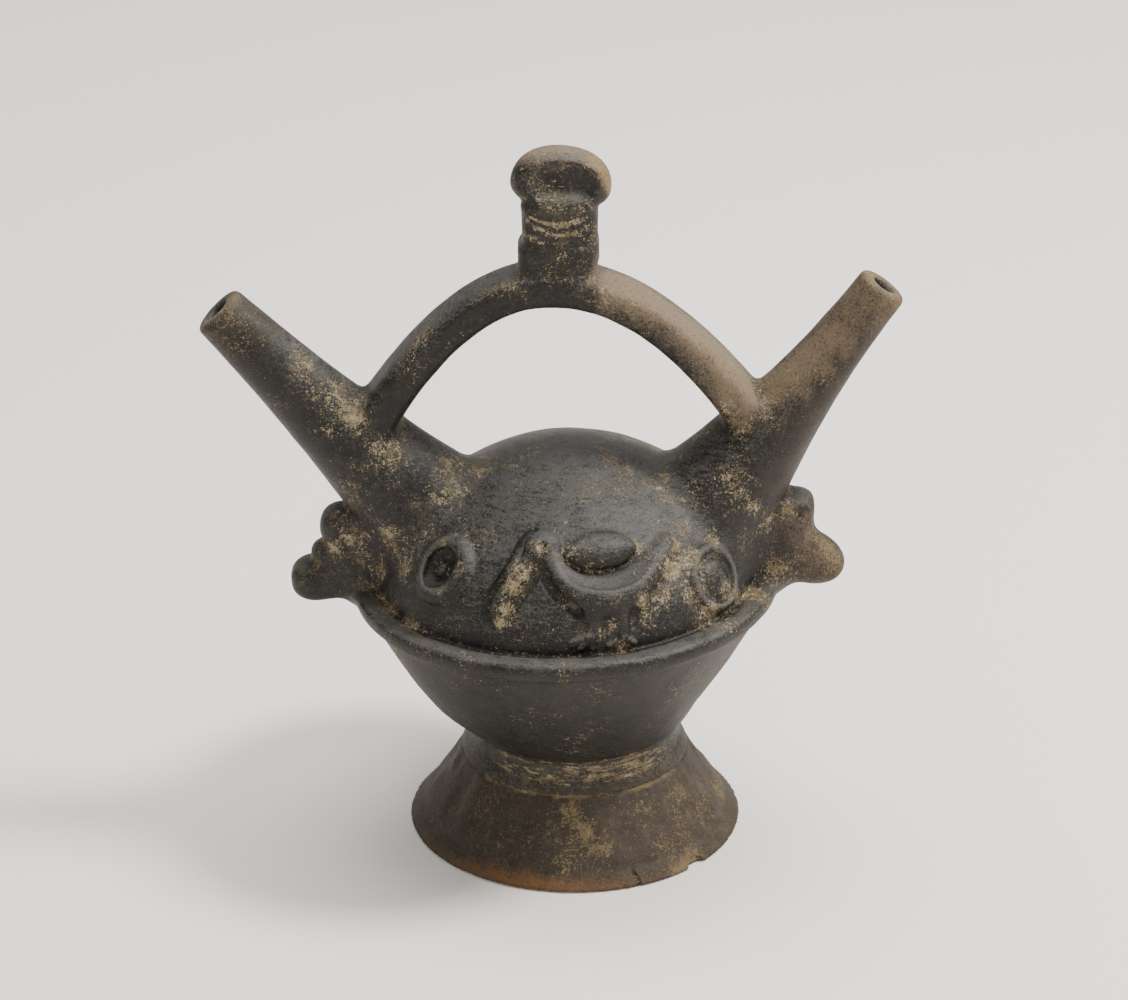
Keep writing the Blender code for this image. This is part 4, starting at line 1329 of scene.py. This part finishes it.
def blackware():
    material, tree, shader = new_material("burnished_blackware")
    brush = Brush(tree)
    grain = brush.noise(0.65, 3.0, 0.75)
    earth = earth_cover(brush, grain)
    dusty = brush.mix(dust_cover(brush, grain), clay_colour(brush, grain), DUST)
    tint = brush.sum((brush.noise(2.2, 3.0), 1.0), (brush.value("brown"), -0.3))
    soil = brush.lay(EARTH_OCHRE, EARTH_PALE, tint, 0.35, 0.65)
    tree.links.new(brush.mix(earth, dusty, soil), shader.inputs["Base Color"])
    strokes = brush.noise(3.0, 4.0, 0.6, (1.0, 1.0, 7.0))
    rough = brush.sum((grain, 0.34), (strokes, 0.16), (earth, 0.35), (brush.value("brown"), 0.08),
                      (brush.value("taupe"), 0.12))
    tree.links.new(brush.ramp(rough, 0.05, 0.6, 0.36, 0.90), shader.inputs["Roughness"])
    relief = brush.sum((grain, 0.5), (brush.noise(2.6, 4.0), 0.45), (strokes, 0.3), (earth, 0.35))
    bump = add_node(tree, "ShaderNodeBump",
                    {"Height": relief, "Strength": BUMP_STRENGTH, "Distance": BUMP_DEPTH})
    tree.links.new(bump.outputs["Normal"], shader.inputs["Normal"])
    shader.inputs["Specular IOR Level"].default_value = SPECULAR
    return material


def floor_material():
    material, _, shader = new_material("pale_floor")
    shader.inputs["Base Color"].default_value = (0.97, 0.92, 0.875, 1.0)
    shader.inputs["Roughness"].default_value = 0.85
    return material


# Stage

FLOOR_DROP = 0.0002
LIGHT_AIM = (0.0, 0.0, 0.09)

# Name, place, size, power and colour
LIGHTS = [
    ("key", (0.85, 0.0, 1.15), 0.36, 24.5, (1.0, 0.975, 0.94)),
    ("fill", (0.2, -1.4, 1.1), 1.2, 5.5, (1.0, 0.99, 0.975)),
    ("top", (0.0, 0.4, 1.6), 1.2, 18.5, (1.0, 0.99, 0.98)),
]


def add_floor():
    form = bmesh.new()
    bmesh.ops.create_grid(form, x_segments=8, y_segments=8, size=6.0)
    mesh = bpy.data.meshes.new("floor")
    form.to_mesh(mesh)
    form.free()
    floor = add_object("floor", mesh)
    floor.location.z = -FLOOR_DROP
    mesh.materials.append(floor_material())


def add_lights():
    for name, place, size, power, colour in LIGHTS:
        data = bpy.data.lights.new(name, "AREA")
        data.shape = "DISK"
        data.size = size
        data.energy = power
        data.color = colour
        light = add_object(name, data)
        light.location = place
        light.rotation_euler = (Vector(LIGHT_AIM) - Vector(place)).to_track_quat("-Z", "Y").to_euler()
    world = bpy.data.worlds.new("studio")
    bpy.context.scene.world = world
    world.use_nodes = True
    background = world.node_tree.nodes["Background"]
    background.inputs["Color"].default_value = (0.88, 0.85, 0.82, 1.0)
    background.inputs["Strength"].default_value = 0.65


CAMERA_TARGET = Vector((0.00333, 0.0, 0.09763))
CAMERA_DISTANCE = 1.0682
CAMERA_ELEVATION = math.radians(24.87)
CAMERA_ROLL = math.radians(0.283)
FOCAL_PIXELS = 3874.56
IMAGE_WIDTH = 1128


def add_camera():
    """The photograph's view, a little above the vessel and square to its bridge."""
    data = bpy.data.cameras.new("camera")
    data.sensor_width = 36.0
    data.lens = FOCAL_PIXELS * data.sensor_width / IMAGE_WIDTH
    data.clip_start = 0.05
    camera = add_object("camera", data)
    back = Vector((0.0, -math.cos(CAMERA_ELEVATION), math.sin(CAMERA_ELEVATION)))
    across = Vector((1.0, 0.0, 0.0))
    up = back.cross(across)
    right = across * math.cos(CAMERA_ROLL) - up * math.sin(CAMERA_ROLL)
    top = across * math.sin(CAMERA_ROLL) + up * math.cos(CAMERA_ROLL)
    turn = Matrix((right, top, back)).transposed().to_4x4()
    camera.matrix_world = Matrix.Translation(CAMERA_TARGET + back * CAMERA_DISTANCE) @ turn
    bpy.context.scene.camera = camera


vessel = make_vessel()
vessel.data.materials.clear()
vessel.data.materials.append(blackware())
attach(vessel, "root")
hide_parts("vessel")

add_floor()
add_lights()
add_camera()
